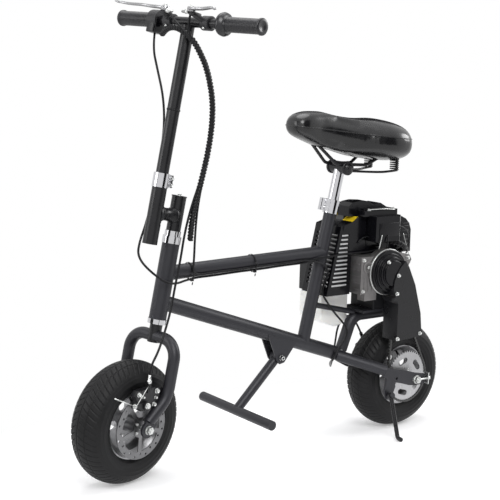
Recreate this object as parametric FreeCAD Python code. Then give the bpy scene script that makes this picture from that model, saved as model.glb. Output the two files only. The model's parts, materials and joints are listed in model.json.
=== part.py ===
import FreeCAD, Part
import math
import os

# Small seated minibike with a two-stroke engine over the rear wheel, all sizes in millimetres.
# It is drawn upright: X forwards, Y to the rider's left, Z up, the rear axle over the origin.
# At the end it is leaned on its side stand, with the bars turned a little to the left.

V = FreeCAD.Vector
Y_AXIS = V(0, 1, 0)
Z_AXIS = V(0, 0, 1)

# Chassis
wheelbase = 824.0
head_angle = 79.2
fork_offset = 44.2
steer_rest = 12.2
lean_rest = 3.3
stand_reach = 52.0

# Tyres, rims, discs
tyre_radius = 141.0
tyre_width = 90.0
crown_radius = 52.0
bead_width = 66.0
rim_radius = 78.0
rim_wall = 3.0
rim_well = 62.0
web_thickness = 7.0
web_holes = 5
hub_radius = 19.0
axle_radius = 5.0
bearing_clearance = 0.06
rotor_radius = 73.0
rotor_thickness = 2.0
rotor_band = 17.0
rotor_arms = 5
rotor_plane = 51.0
stop_side = 21.0
stop_top = 108.0
rear_caliper_turn = 28.0

# Chain drive
chain_pitch = 8.0
sprocket_teeth = 52
sprocket_thickness = 2.6
chain_plane = 53.0
drive_teeth = 11
drive_angle = 77.6
chain_links = 84
plate_height = 6.4
plate_thickness = 1.1
plate_gap = 4.4
roller_radius = 2.1

# Frame tubes
head_od = 40.0
head_low = 236.0
head_high = 409.3
steerer_od = 28.6
steerer_low = 182.5
top_od = 34.0
down_od = 35.0
seat_od = 31.8
stay_od = 29.0
tube_wall = 2.0
top_head = 340.0
top_seat = 479.5
down_head = 275.0
seat_angle = 77.2
seat_base_x = 306.8
seat_base_z = 271.8
seat_tube_top = 580.0
junction_x = 196.0
down_slope = 0.3526
stay_y = 88.0
stay_end_x = 106.0
stay_end_z = 178.0
plate_t = 6.0
eye_x = 70.0
eye_radius = 4.1
cradle_od = 30.0
tyre_gap = 12.0
strut_bend_x = 150.0
strut_end_x = 28.0
cradle_plate = 6.0
brace_od = 14.0

# Stem, mast and bars
mast_offset = 66.5
mast_od = 28.6
mast_clearance = 0.05
bar_tube_od = 33.6
bar_tube_low = 402.0
collar_low = 529.0
collar_high = 560.5
mast_low = 440.0
bar_height = 895.0
handlebar_od = 22.2
handlebar_half = 214.0
handlebar_wall = 2.0
grip_od = 33.0
grip_length = 101.0
perch_inset = 67.0
perch_length = 22.0
perch_od = 32.0
throttle_length = 28.0
throttle_od = 46.0
sleeve_od = 33.0
sleeve_low = 438.0
sleeve_high = 515.0
bridge_height = 472.0

# Fork
leg_od = 27.0
leg_y = 72.0
leg_top = 197.0
leg_bend = 42.0
leg_knee = 72.0
knee_bend = 70.0

# Saddle
post_od = 27.2
post_clearance = 0.05
post_low = 470.0
post_high = 690.0
clamp_height = 30.0
clamp_od = 38.0

# Engine
crank_x = 98.0
crank_rise = 106.0
crank_below = 56.0
crank_above = 38.0
bell_radius = 56.0
bell_step = 8.0
flange_radius = 58.0
flange_side = 70.0
case_back = 47.0
case_face = 100.0
case_wall = 3.0
shroud_left = 24.0
shroud_right = -73.0
shroud_gap = 9.5
shroud_wall = 4.0
shroud_low = -56.0
shroud_high = 116.0
louvre_pitch = 10.4
louvre_height = 5.0
louvre_rows = 13
starter_radius = 58.0
pipe_od = 28.0

# Footrest and side stand
rest_pivot_x = 389.0
rest_pivot_z = 232.0
rest_bar_x = 508.8
rest_bar_z = 114.2
rest_half = 142.0
rest_od = 23.0
rest_bolt = 8.0
cheek_inner = 14.5
cheek_t = 4.0
stand_pivot = V(97.0, 101.0, 114.0)
stand_od = 11.0
stand_bolt = 8.0
stand_forward = 9.0

# Cables
cable_od = 5.0


def cylinder(start, end, od):
    return Part.makeCylinder(od / 2, (end - start).Length, start, end - start)


def tube(start, end, od, wall):
    outer = cylinder(start, end, od)
    return outer.cut(cylinder(start, end, od - 2 * wall))


def ring(start, end, od, bore):
    return cylinder(start, end, od).cut(cylinder(start, end, bore))


def box(x0, x1, y0, y1, z0, z1):
    return Part.makeBox(x1 - x0, y1 - y0, z1 - z0, V(x0, y0, z0))


def fuse(shapes):
    whole = shapes[0]
    if len(shapes) > 1:
        whole = whole.multiFuse(list(shapes[1:]))
    return whole.removeSplitter()


def mirrored(shape):
    return shape.mirror(V(0, 0, 0), Y_AXIS)


def bent_path(points, radii):
    """Straight runs joined by tangent arcs: one radius for each inner point."""
    edges = []
    start = points[0]
    for before, corner, after, radius in zip(points, points[1:], points[2:], radii):
        back = (before - corner).normalize()
        ahead = (after - corner).normalize()
        half = back.getAngle(ahead) / 2
        cut = radius / math.tan(half)
        arc_in = corner + back * cut
        arc_out = corner + ahead * cut
        middle = (back + ahead).normalize()
        top = corner + middle * (radius / math.sin(half) - radius)
        if (arc_in - start).Length > 1e-6:
            edges.append(Part.LineSegment(start, arc_in).toShape())
        edges.append(Part.Arc(arc_in, top, arc_out).toShape())
        start = arc_out
    if (points[-1] - start).Length > 1e-6:
        edges.append(Part.LineSegment(start, points[-1]).toShape())
    return Part.Wire(edges)


def bent_bar(points, radii, od, wall=0.0):
    """A round bar or tube along a bent path."""
    path = bent_path(points, radii)
    ahead = points[1] - points[0]
    outer = Part.Wire(Part.Circle(points[0], ahead, od / 2).toShape())
    solid = path.makePipeShell([outer], True, False)
    if wall:
        inner = Part.Wire(Part.Circle(points[0], ahead, od / 2 - wall).toShape())
        solid = solid.cut(path.makePipeShell([inner], True, False))
    return solid


def cable_radii(points):
    """The largest arc that the two runs beside each corner leave room for."""
    radii = []
    for before, corner, after in zip(points, points[1:], points[2:]):
        turn = (corner - before).getAngle(after - corner)
        run = min((corner - before).Length, (after - corner).Length)
        radii.append(0.45 * run / math.tan(turn / 2))
    return radii


def cable(points, od):
    return bent_bar(points, cable_radii(points), od)


def outline(points, thickness, along, reach):
    """A flat plate from its corner points, raised by a thickness along a direction."""
    face = Part.Face(Part.makePolygon(list(points) + [points[0]]))
    return face.extrude(along * (thickness * reach))


def hexagon(base, side, radius, height):
    points = []
    for k in range(6):
        angle = math.pi * k / 3
        points.append(base + V(radius * math.cos(angle), 0, radius * math.sin(angle)))
    return outline(points, height, Y_AXIS, side)


def side_plate(corners, y0, y1):
    """A plate drawn as x, z corners and standing from y0 to y1."""
    points = [V(x, y0, z) for x, z in corners]
    return outline(points, y1 - y0, Y_AXIS, 1)


def wheel_turn(profile):
    """A ring turned about the Y axis from radius, offset pairs."""
    points = [V(radius, offset, 0) for radius, offset in profile]
    face = Part.Face(Part.makePolygon(points + [points[0]]))
    return face.revolve(V(0, 0, 0), Y_AXIS, 360)


# Steering axis: it passes behind the front axle by the fork offset
head = math.radians(head_angle)
steer_up = V(-math.cos(head), 0, math.sin(head))
steer_ahead = V(math.sin(head), 0, math.cos(head))
front_axle = V(wheelbase, 0, tyre_radius)
rear_axle = V(0, 0, tyre_radius)
steer_foot = front_axle - steer_ahead * fork_offset


def on_axis(height, ahead=0.0, left=0.0):
    """A point on the steering axis, by its height along it from the front axle's level."""
    return steer_foot + steer_up * height + steer_ahead * ahead + Y_AXIS * left


def on_mast(height, ahead=0.0, left=0.0):
    return on_axis(height, mast_offset + ahead, left)


# Seat tube line, and the down tube line from the head to the rear junction
seat_slope = math.radians(seat_angle)
seat_up = V(-math.cos(seat_slope), 0, math.sin(seat_slope))
seat_base = V(seat_base_x, 0, seat_base_z)


def on_seat_line(z, ahead=0.0):
    side = V(math.sin(seat_slope), 0, math.cos(seat_slope))
    return seat_base + seat_up * ((z - seat_base_z) / seat_up.z) + side * ahead


down_start = on_axis(down_head)
junction = V(junction_x, 0, down_start.z - down_slope * (down_start.x - junction_x))


def on_down_tube(x):
    return V(x, 0, down_start.z - down_slope * (down_start.x - x))


seat_lean = 1 / math.tan(seat_slope)
seat_foot_z = ((on_down_tube(0).z + down_slope * (seat_base_x + seat_lean * seat_base_z))
               / (1 + down_slope * seat_lean))


# The cradle clears the tyre, and the engine stands on the cradle
strut_z = 2 * tyre_radius + tyre_gap + cradle_od / 2
cradle_top = strut_z + cradle_od / 2 - 2
crank_z = cradle_top + crank_rise
grip_inner = handlebar_half - grip_length
seat_back = seat_od / 2 + shroud_gap


# Chain drive: the number of links sets how far the drive sprocket stands from the rear axle
sprocket_pitch_radius = chain_pitch / (2 * math.sin(math.pi / sprocket_teeth))
drive_pitch_radius = chain_pitch / (2 * math.sin(math.pi / drive_teeth))
drive_slope = math.radians(drive_angle)
drive_direction = V(math.cos(drive_slope), 0, math.sin(drive_slope))


def chain_length(distance):
    tilt = math.asin((sprocket_pitch_radius - drive_pitch_radius) / distance)
    arcs = sprocket_pitch_radius * (math.pi + 2 * tilt) + drive_pitch_radius * (math.pi - 2 * tilt)
    return arcs + 2 * distance * math.cos(tilt)


wanted_length = chain_links * sprocket_pitch_radius * 2 * math.pi / sprocket_teeth
drive_distance = wanted_length / 3
for attempt in range(20):
    drive_distance += (wanted_length - chain_length(drive_distance)) / 2
chain_tilt = math.asin((sprocket_pitch_radius - drive_pitch_radius) / drive_distance)
tooth_phase = drive_slope - math.pi / 2 + chain_tilt


# Wheels, drawn round the Y axis at the origin and then moved to their axles
def tyre():
    side = tyre_width / 2
    bead = bead_width / 2
    shoulder_y = side - 9
    drop = crown_radius - math.sqrt(crown_radius ** 2 - shoulder_y ** 2)
    shoulder = tyre_radius - drop
    belly = rim_radius + 0.5 * (tyre_radius - rim_radius)
    top = V(tyre_radius, 0, 0)
    edges = [Part.Arc(V(shoulder, -shoulder_y, 0), top, V(shoulder, shoulder_y, 0)).toShape()]
    for sign in (1, -1):
        edges.append(Part.Arc(V(shoulder, sign * shoulder_y, 0), V(belly, sign * side, 0),
                              V(rim_radius + 2, sign * (bead + 5), 0)).toShape())
        edges.append(Part.LineSegment(V(rim_radius + 2, sign * (bead + 5), 0),
                                      V(rim_radius, sign * bead, 0)).toShape())
    edges.append(Part.LineSegment(V(rim_radius, bead, 0), V(rim_radius, -bead, 0)).toShape())
    face = Part.Face(Part.Wire(Part.__sortEdges__(edges)))
    return face.revolve(V(0, 0, 0), Y_AXIS, 360)


def rim(hub_half):
    """Barrel with a drop well, one web with round windows, and the hub with its bearing bore."""
    bead = bead_width / 2
    barrel = wheel_turn([(rim_radius, -bead), (rim_radius, bead), (rim_radius - rim_wall, bead),
                         (rim_well, bead - 14), (rim_well, 14 - bead),
                         (rim_radius - rim_wall, -bead)])
    barrel = barrel.cut(wheel_turn([(rim_radius - 2 * rim_wall, -bead - 1),
                                    (rim_well - rim_wall, 10 - bead), (rim_well - rim_wall, bead - 10),
                                    (rim_radius - 2 * rim_wall, bead + 1), (0, bead + 1),
                                    (0, -bead - 1)]))
    web = wheel_turn([(hub_radius - 1, -web_thickness / 2), (rim_well, -web_thickness / 2),
                      (rim_well, web_thickness / 2), (hub_radius - 1, web_thickness / 2)])
    hub = cylinder(V(0, -hub_half, 0), V(0, hub_half, 0), 2 * hub_radius)
    wheel = fuse([barrel, web, hub])
    window_radius = 0.5 * (rim_well + hub_radius)
    cuts = [cylinder(V(0, -hub_half - 1, 0), V(0, hub_half + 1, 0),
                     2 * (axle_radius + bearing_clearance))]
    for n in range(web_holes):
        angle = 2 * math.pi * n / web_holes
        at = V(window_radius * math.cos(angle), 0, window_radius * math.sin(angle))
        cuts.append(cylinder(at - Y_AXIS * web_thickness, at + Y_AXIS * web_thickness, 22))
    return wheel.cut(Part.makeCompound(cuts))


def rotor(plane, side):
    """Brake disc: a drilled band on curved arms, bolted to the hub's end."""
    half = rotor_thickness / 2
    band_in = rotor_radius - rotor_band
    start = V(0, plane - half, 0)
    end = V(0, plane + half, 0)
    band = ring(start, end, 2 * rotor_radius, 2 * band_in)
    boss = ring(V(0, plane - side * half, 0), V(0, plane + side * half, 0), 46,
                2 * (axle_radius + 2))
    parts = [band, boss]
    for n in range(rotor_arms):
        arm = box(18, band_in + 2, plane - half, plane + half, -5, 5)
        arm.rotate(V(0, 0, 0), Y_AXIS, 360.0 * n / rotor_arms + 16)
        parts.append(arm)
    disc = fuse(parts)
    holes = []
    for n in range(24):
        angle = 2 * math.pi * n / 24
        radius = rotor_radius - rotor_band * (0.32 if n % 2 else 0.68)
        at = V(radius * math.cos(angle), plane, radius * math.sin(angle))
        holes.append(cylinder(at - Y_AXIS * 3, at + Y_AXIS * 3, 5.2))
    return disc.cut(Part.makeCompound(holes))


def sprocket():
    """Rear sprocket: one tooth each pitch, oval windows, bolted to the hub's left end."""
    root = sprocket_pitch_radius - roller_radius - 0.5
    tip = sprocket_pitch_radius + 2.2
    half = sprocket_thickness / 2
    step = 2 * math.pi / sprocket_teeth
    points = []
    for n in range(sprocket_teeth):
        for part, radius in ((0.17, root), (0.42, tip), (0.58, tip), (0.83, root)):
            angle = (n + part) * step + tooth_phase
            points.append(V(radius * math.cos(angle), chain_plane - half, radius * math.sin(angle)))
    blank = outline(points, sprocket_thickness, Y_AXIS, 1)
    cuts = [cylinder(V(0, chain_plane - 4, 0), V(0, chain_plane + 4, 0), 2 * (axle_radius + 2))]
    for n in range(5):
        slot = box(-9, 9, chain_plane - 4, chain_plane + 4, 36, 50)
        ends = [cylinder(V(x, chain_plane - 4, 43), V(x, chain_plane + 4, 43), 14) for x in (-9, 9)]
        slot = fuse([slot] + ends)
        slot.rotate(V(0, 0, 0), Y_AXIS, 72.0 * n + 20)
        cuts.append(slot)
    return blank.cut(Part.makeCompound(cuts))


def chain():
    """One closed loop round both sprockets: scalloped side plates joined by a roller each pitch."""
    big = sprocket_pitch_radius
    small = drive_pitch_radius
    along = drive_direction
    across = V(along.z, 0, -along.x)
    tilt = chain_tilt
    run = drive_distance * math.cos(tilt)
    big_arc = big * (math.pi + 2 * tilt)
    small_arc = small * (math.pi - 2 * tilt)

    def outwards(turn):
        return across * math.cos(turn) - along * math.sin(turn)

    def onwards(turn):
        return across * -math.sin(turn) - along * math.cos(turn)

    def at(s, out):
        """A point at a distance along the loop, and out from its middle line."""
        s = s % (big_arc + small_arc + 2 * run)
        if s < big_arc:
            return outwards(s / big - tilt) * (big + out)
        s -= big_arc
        if s < run:
            return outwards(math.pi + tilt) * (big + out) + onwards(math.pi + tilt) * s
        s -= run
        far = along * drive_distance
        if s < small_arc:
            return far + outwards(math.pi + tilt + s / small) * (small + out)
        s -= small_arc
        return far + outwards(-tilt) * (small + out) + onwards(-tilt) * s

    step = sprocket_pitch_radius * 2 * math.pi / sprocket_teeth
    high = plate_height / 2
    waist = high * 0.6
    shift = rear_axle + Y_AXIS * chain_plane
    loops = []
    for sign in (1, -1):
        loop = []
        for n in range(chain_links):
            loop += [at(n * step, sign * high), at((n + 0.5) * step, sign * waist)]
        loops.append(loop)
    parts = []
    for y0 in (plate_gap / 2, -plate_gap / 2 - plate_thickness):
        base = shift + Y_AXIS * y0
        outer, inner = [outline([p + base for p in loop], plate_thickness, Y_AXIS, 1) for loop in loops]
        parts.append(outer.cut(inner))
    for n in range(chain_links):
        centre = at(n * step, 0) + shift - Y_AXIS * (plate_gap / 2 + 0.2)
        parts.append(hexagon(centre, 1, roller_radius, plate_gap + 0.4))
    return parts[0].multiFuse(parts[1:])


def front_wheel():
    half = rotor_plane - rotor_thickness / 2
    return {"front_tyre": tyre(), "front_rim": rim(half), "front_rotor": rotor(rotor_plane, 1)}


def rear_wheel():
    half = chain_plane - sprocket_thickness / 2
    return {"rear_tyre": tyre(), "rear_rim": rim(half), "sprocket": sprocket(),
            "rear_rotor": rotor(-half - rotor_thickness / 2, -1)}


# Frame weldment
def head_tube():
    return ring(on_axis(head_low), on_axis(head_high), head_od, steerer_od + 5)


def headset():
    """Bearing cups pressed into both ends of the head tube, with the crown race below."""
    low = ring(on_axis(head_low - 11), on_axis(head_low), 43, steerer_od + 2 * bearing_clearance)
    high = ring(on_axis(head_high), on_axis(head_high + 16), 43, steerer_od + 2 * bearing_clearance)
    nut = ring(on_axis(head_high + 16), on_axis(sleeve_low - 0.4), 37, steerer_od + 2 * bearing_clearance)
    return Part.makeCompound([low, fuse([high, nut])])


def top_tube():
    start = on_axis(top_head)
    end = on_seat_line(top_seat)
    solid = tube(start, end, top_od, tube_wall)
    solid = solid.cut(cylinder(on_axis(head_low), on_axis(head_high), head_od))
    return solid.cut(cylinder(on_seat_line(380), on_seat_line(seat_tube_top), seat_od))


def down_tube():
    solid = tube(down_start, junction, down_od, tube_wall)
    return solid.cut(cylinder(on_axis(head_low), on_axis(head_high), head_od))


def seat_tube():
    wall = (seat_od - post_od) / 2 - post_clearance
    solid = tube(on_seat_line(seat_foot_z), on_seat_line(seat_tube_top), seat_od, wall)
    solid = solid.cut(cylinder(down_start, junction, down_od))
    slot = box(-40, 0, -1, 1, 0, 34)
    slot.translate(on_seat_line(seat_tube_top) - V(0, 0, 33))
    return solid.cut(slot)


def seat_clamp():
    """Split collar over the seat tube's slotted top, drawn up by two bolts in front."""
    low = on_seat_line(seat_tube_top - 4)
    high = on_seat_line(seat_tube_top + clamp_height)
    band = cylinder(low, high, clamp_od)
    lug = box(-5, 16, -10, 10, 0, clamp_height)
    lug.rotate(V(0, 0, 0), Y_AXIS, seat_angle - 90)
    lug.translate(on_seat_line(seat_tube_top, clamp_od / 2 - 1))
    parts = [band, lug]
    gap = box(0, 60, -1.2, 1.2, -20, clamp_height + 20)
    gap.rotate(V(0, 0, 0), Y_AXIS, seat_angle - 90)
    gap.translate(on_seat_line(seat_tube_top))
    body = fuse(parts).cut(gap)
    body = body.cut(cylinder(on_seat_line(seat_tube_top - 30), on_seat_line(seat_tube_top), seat_od + 0.1))
    body = body.cut(cylinder(low - seat_up, high + seat_up, post_od + 0.4))
    bolts = []
    for rise in (7.0, 23.0):
        at = on_seat_line(seat_tube_top + rise, clamp_od / 2 + 8)
        bolts.append(cylinder(at - Y_AXIS * 15, at + Y_AXIS * 10, 6))
        bolts.append(cylinder(at + Y_AXIS * 10, at + Y_AXIS * 14, 11))
    return fuse([body] + bolts)


def rear_stays():
    """Left and right stay, each a tube that ends in a slotted dropout arm with an eye."""
    start = junction + V(6, 8, -2)
    end = V(stay_end_x, stay_y, stay_end_z)
    pipe = tube(start, end, stay_od, tube_wall)
    pipe = pipe.cut(cylinder(down_start, junction + V(-30, 0, -30 * down_slope), down_od))
    pipe = pipe.cut(box(-50, 300, -50, 0.2, 100, 300)).cut(cradle_strut())
    inner = stay_y - plate_t / 2
    low = stay_end_z - tyre_radius
    plate = side_plate([(x, tyre_radius + z) for x, z in (
        (-30, -15), (-30, 11), (4, 18), (34, 27), (60, 32), (stay_end_x + 12, low + 12),
        (stay_end_x + 10, low - 15), (84, 5), (50, -4), (26, -12), (4, -15))], inner, inner + plate_t)
    slot = box(-12, 12, inner - 1, inner + plate_t + 1, tyre_radius - axle_radius - 0.2,
               tyre_radius + axle_radius + 0.2)
    arm = fuse([pipe, plate]).cut(slot)
    eye = V(eye_x, stay_y, tyre_radius + 12)
    arm = arm.cut(cylinder(eye - Y_AXIS * 9, eye + Y_AXIS * 9, 2 * eye_radius))
    right = mirrored(arm)
    foot_z = stand_pivot.z - 10
    bracket = side_plate([(stand_pivot.x + 5, stay_end_z - 14), (stand_pivot.x - 20, stay_end_z - 32),
                          (stand_pivot.x - 24, stand_pivot.z + 18), (stand_pivot.x - 11, foot_z),
                          (stand_pivot.x + 8, foot_z), (stand_pivot.x + 13, stand_pivot.z + 10)],
                         inner, inner + plate_t)
    hinge = stand_axis(stand_foot())
    bolt = cylinder(stand_pivot - hinge * 16, stand_pivot + hinge * 8, stand_bolt)
    boss = cylinder(stand_pivot - hinge * 16, stand_pivot - hinge * 3.7, 14)
    head = cylinder(stand_pivot + hinge * 3.7, stand_pivot + hinge * 8, 14)
    return {"left": fuse([arm, bracket, bolt, boss, head]), "right": right}


def rear_axle_set():
    """Axle, its nuts on the dropouts, and the chain adjusters behind them."""
    outer = stay_y + plate_t / 2
    shaft = cylinder(V(0, -outer - 13, tyre_radius), V(0, outer + 13, tyre_radius), 2 * axle_radius)
    parts = [shaft]
    for side in (-1, 1):
        face = side * outer
        washer = ring(V(0, face, tyre_radius), V(0, face + side * 2, tyre_radius), 22, 8)
        nut = hexagon(V(0, face + side * 2, tyre_radius), side, 9.5, 8)
        rod = cylinder(V(-6, face + side * 5, tyre_radius), V(-44, face + side * 5, tyre_radius), 5)
        cap = box(-36, -33, min(face - side * 8, face + side * 10), max(face - side * 8, face + side * 10),
                  tyre_radius - 15, tyre_radius + 15)
        end = cylinder(V(-36, face + side * 5, tyre_radius), V(-42, face + side * 5, tyre_radius), 9)
        parts += [washer, nut, rod, cap, end]
    return fuse(parts)


def cradle_strut():
    """Bent strut from the junction up and back under the engine."""
    low = on_down_tube(junction_x - 8)
    return bent_bar([low, V(strut_bend_x, 0, strut_z), V(strut_end_x, 0, strut_z)], [40], cradle_od)


def engine_cradle():
    """The strut with the engine's plate on it and the brace to the seat tube."""
    strut = cradle_strut()
    lower_end = cylinder(down_start, on_down_tube(junction_x - 60), down_od)
    half = case_back - 3
    plate = box(strut_end_x + 2, strut_bend_x + 2, -half, half, cradle_top, cradle_top + cradle_plate)
    web = box(strut_end_x + 12, strut_bend_x - 18, -5, 5, cradle_top - 6, cradle_top + 1)
    brace = cylinder(on_seat_line(cradle_top + 30), V(strut_bend_x - 4, 0, cradle_top - 4), brace_od)
    brace = brace.cut(cylinder(on_seat_line(300), on_seat_line(400), seat_od))
    return fuse([strut.cut(lower_end), plate, web, brace])


def footrest_bracket():
    """Two cheeks that taper from the down tube to the footrest's bolt."""
    x, z = rest_pivot_x, rest_pivot_z
    outer = cheek_inner + cheek_t
    cheeks = []
    for side in (-1, 1):
        low, high = sorted((side * cheek_inner, side * outer))
        cheeks.append(side_plate([(x - 44, on_down_tube(x - 44).z - 2), (x + 44, on_down_tube(x + 44).z - 2),
                                  (x + 15, z - 6), (x + 6, z - 15), (x - 8, z - 12)], low, high))
    bolt = cylinder(V(x, -outer - 3, z), V(x, outer + 3, z), rest_bolt)
    heads = [hexagon(V(x, side * outer, z), side, 7.5, 6) for side in (-1, 1)]
    body = fuse(cheeks + [bolt] + heads)
    return body.cut(cylinder(down_start, junction, down_od))


def footrest():
    """Folding leg with a cross bar for both feet."""
    pivot = V(rest_pivot_x, 0, rest_pivot_z)
    bar_at = V(rest_bar_x, 0, rest_bar_z)
    leg = cylinder(pivot, bar_at, rest_od)
    half = cheek_inner - 0.6
    eye = cylinder(pivot - Y_AXIS * half, pivot + Y_AXIS * half, rest_od + 5)
    bar = cylinder(bar_at - Y_AXIS * rest_half, bar_at + Y_AXIS * rest_half, rest_od)
    body = fuse([leg, eye, bar])
    return body.cut(cylinder(pivot - Y_AXIS * 20, pivot + Y_AXIS * 20, rest_bolt + 2 * bearing_clearance))


# Engine, drawn from the crankshaft's middle
def engine_box(x0, x1, y0, y1, z0, z1):
    return box(crank_x + x0, crank_x + x1, y0, y1, crank_z + z0, crank_z + z1)


def engine_plate(corners, y0, y1):
    return side_plate([(crank_x + x, crank_z + z) for x, z in corners], y0, y1)


def crank_disc(y0, y1, radius):
    return cylinder(V(crank_x, y0, crank_z), V(crank_x, y1, crank_z), 2 * radius)


def engine_mount():
    """Block that carries the crankcase on the cradle's plate."""
    return box(crank_x - 62, crank_x + 22, -42, 44, cradle_top + cradle_plate, crank_z - crank_below)


def engine_block():
    """Crankcase, cylinder, clutch housing and the plate that carries the drive sprocket."""
    case = engine_box(-58, 52, -42, 44, -crank_below, crank_above)
    barrel = engine_box(48, 108, -42, 18, -33, 102)
    housing = engine_box(0, 84, 20, flange_side - 8, -52, 42)
    foot = engine_box(28, 68, 34, flange_side - 10, -70, -52)
    flange = crank_disc(44, flange_side, flange_radius)
    ear = engine_plate([(0, 57), (-71, 40), (-79, 27), (-48, -28)], flange_side - 8, flange_side)
    shaft_at = rear_axle + drive_direction * drive_distance
    top = crank_z - crank_below + 20
    back = side_plate([(shaft_at.x - 22, shaft_at.z - 14), (shaft_at.x + 22, shaft_at.z - 14),
                       (crank_x + 10, top), (crank_x - 58, top)], 44, case_back)
    shaft = cylinder(V(shaft_at.x, 44, shaft_at.z), V(shaft_at.x, chain_plane + 5, shaft_at.z), 12)
    teeth = cylinder(V(shaft_at.x, chain_plane - sprocket_thickness / 2, shaft_at.z),
                     V(shaft_at.x, chain_plane + sprocket_thickness / 2, shaft_at.z),
                     2 * (drive_pitch_radius - roller_radius - 0.4))
    return fuse([case, barrel, housing, foot, flange, ear, back, shaft, teeth])


def clutch_bell():
    """Round stepped cover over the clutch."""
    height = (case_face - case_wall - flange_side) / 4
    steps = []
    for n in range(4):
        y0 = flange_side + n * height
        steps.append(crank_disc(y0, y0 + height, bell_radius - n * bell_step))
    return fuse(steps)


def chain_case():
    """Flat tapering case over the drive sprocket, with its face lapping over the clutch cover."""
    low = 2 * tyre_radius - 24 - crank_z
    corners = [(-32, 30), (-44, 14), (-68, -33), (-92, -109), (-97, low + 22), (-97, low + 8),
               (-90, low), (-12, low - 4), (-12, -78), (-2, -62), (6, -38), (4, -18), (-6, 2), (-18, 18)]
    wall = case_wall
    inset = [(-44, 8), (-64, -34), (-88, -109), (-94, low + 22), (-94, low - 8), (-12 - wall, low - 8),
             (-12 - wall, -76), (0, -60), (0, -40), (-8, -2)]
    body = engine_plate(corners, case_back, case_face)
    body = body.cut(engine_plate(inset, case_back - 1, case_face - wall))
    body = body.cut(crank_disc(case_back - 1, flange_side + 0.4, flange_radius + 0.4))
    for n in range(4):
        body = body.cut(crank_disc(flange_side, flange_side + (n + 1) * (case_face - wall - flange_side) / 4,
                                   bell_radius - n * bell_step + 0.4))
    slot = engine_box(-120, -12 - wall, case_back - 1, chain_plane + 8, low - 10, 60)
    parts = [body.cut(slot)]
    for x, z in ((-92, 8), (-14, 2)):
        at = V(crank_x + x, case_face, crank_z + low + z)
        parts.append(cylinder(at - Y_AXIS * 8, at, 14))
    return fuse(parts)


def louvred_shroud():
    """Cooling shroud round the cylinder, its front along the seat tube, with rows of slots."""
    low = crank_z + shroud_low
    high = crank_z + shroud_high
    wall = shroud_wall

    def front(z, inside=0.0):
        return (on_seat_line(z, -seat_back - inside).x, z)

    top = crank_z + 138
    outer = [front(low), front(high), (crank_x + 85, high + 10), (crank_x + 68, top), (crank_x + 40, top),
             (crank_x + 40, crank_z + 50), (crank_x + 86, crank_z + 44), (crank_x + 86, low)]
    inner = [front(low - 8, wall), front(high - wall, wall), (crank_x + 83, high + 10 - wall),
             (crank_x + 67, top - wall), (crank_x + 30, top - wall), (crank_x + 30, crank_z + 50 + wall),
             (crank_x + 82, crank_z + 44 + wall), (crank_x + 82, low - 8)]
    shell = side_plate(outer, shroud_right, shroud_left)
    shell = shell.cut(side_plate(inner, shroud_right + wall, shroud_left - wall))
    cuts = [cylinder(V(crank_x + 100, shroud_right - 1, crank_z - 18),
                     V(crank_x + 100, shroud_right + wall + 1, crank_z - 18), pipe_od + 6)]
    rows = ((shroud_right + 10, -42), (-16, shroud_left - 7))
    for n in range(louvre_rows):
        z = low + 22 + louvre_pitch * n
        x, z = front(z, wall)
        cuts.append(box(crank_x + 94, x - 6, shroud_left - wall - 1, shroud_left + 1, z, z + louvre_height))
        for y0, y1 in rows:
            cuts.append(box(x - 6, x + wall + 8, y0, y1, z, z + louvre_height))
    cuts.append(engine_box(46, 110, -44, 20, -35, 104))
    return shell.cut(Part.makeCompound(cuts))


def air_cleaner():
    """Air cleaner with its lid, the carburettor under it, the rear cowl and the plug's hood."""
    plan = [(36, 58), (-42, 60), (-54, 50), (-58, -10), (36, -10)]
    lid = [(62, 42), (-44, 46), (-54, 36), (-58, -14), (62, -14)]
    parts = []
    for corners, z0, z1 in ((plan, 76, 140), (lid, 140, 154)):
        points = [V(crank_x + x, y, crank_z + z0) for x, y in corners]
        parts.append(outline(points, z1 - z0, Z_AXIS, 1))
    parts.append(engine_box(-42, 34, -30, 19, crank_above, 77))
    cowl = engine_plate([(-50, 78), (-60, 78), (-60, 34), (-137, 34), (-136, 92), (-129, 109), (-117, 121), (-102, 128),
                         (-50, 130)], -62, 4)
    hood = engine_plate([(90, 139), (89, 164), (78, 173), (54, 176), (24, 174), (6, 163), (-10, 169),
                         (-18, 168), (-44, 154), (20, 150), (62.5, 139)], -30, 12)
    return fuse(parts + [cowl, hood])


def recoil_starter():
    return fuse([crank_disc(-92, -43, starter_radius), crank_disc(-101, -92, starter_radius - 10)])


def muffler():
    """Silencer box on the right, with its pipe to the cylinder."""
    can = engine_box(78, 138, shroud_right - 40, shroud_right - 1.4, -60, 18)
    port = V(crank_x + 100, -42, crank_z - 18)
    pipe = cylinder(port + Y_AXIS * (shroud_right + 40), port, pipe_od)
    return fuse([can, pipe])


def fuel_tank():
    """Moulded tank with a sloping floor, in front of the engine's mount."""
    rear = strut_bend_x + 2
    top = crank_z - 62
    can = side_plate([(rear, top), (rear, cradle_top - 24), (rear + 18, cradle_top - 38),
                      (rear + 41, cradle_top - 42), (rear + 73, cradle_top - 28),
                      (rear + 88, cradle_top - 20), (rear + 88, top)], shroud_right - 32, -17)
    neck = cylinder(V(rear + 30, shroud_right - 31, top - 24), V(rear + 30, shroud_right - 46, top - 24), 30)
    return fuse([can, neck])


# Steering assembly
def steerer():
    low = on_axis(steerer_low)
    high = on_axis(sleeve_high - 6)
    return cylinder(low, high, steerer_od)


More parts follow.
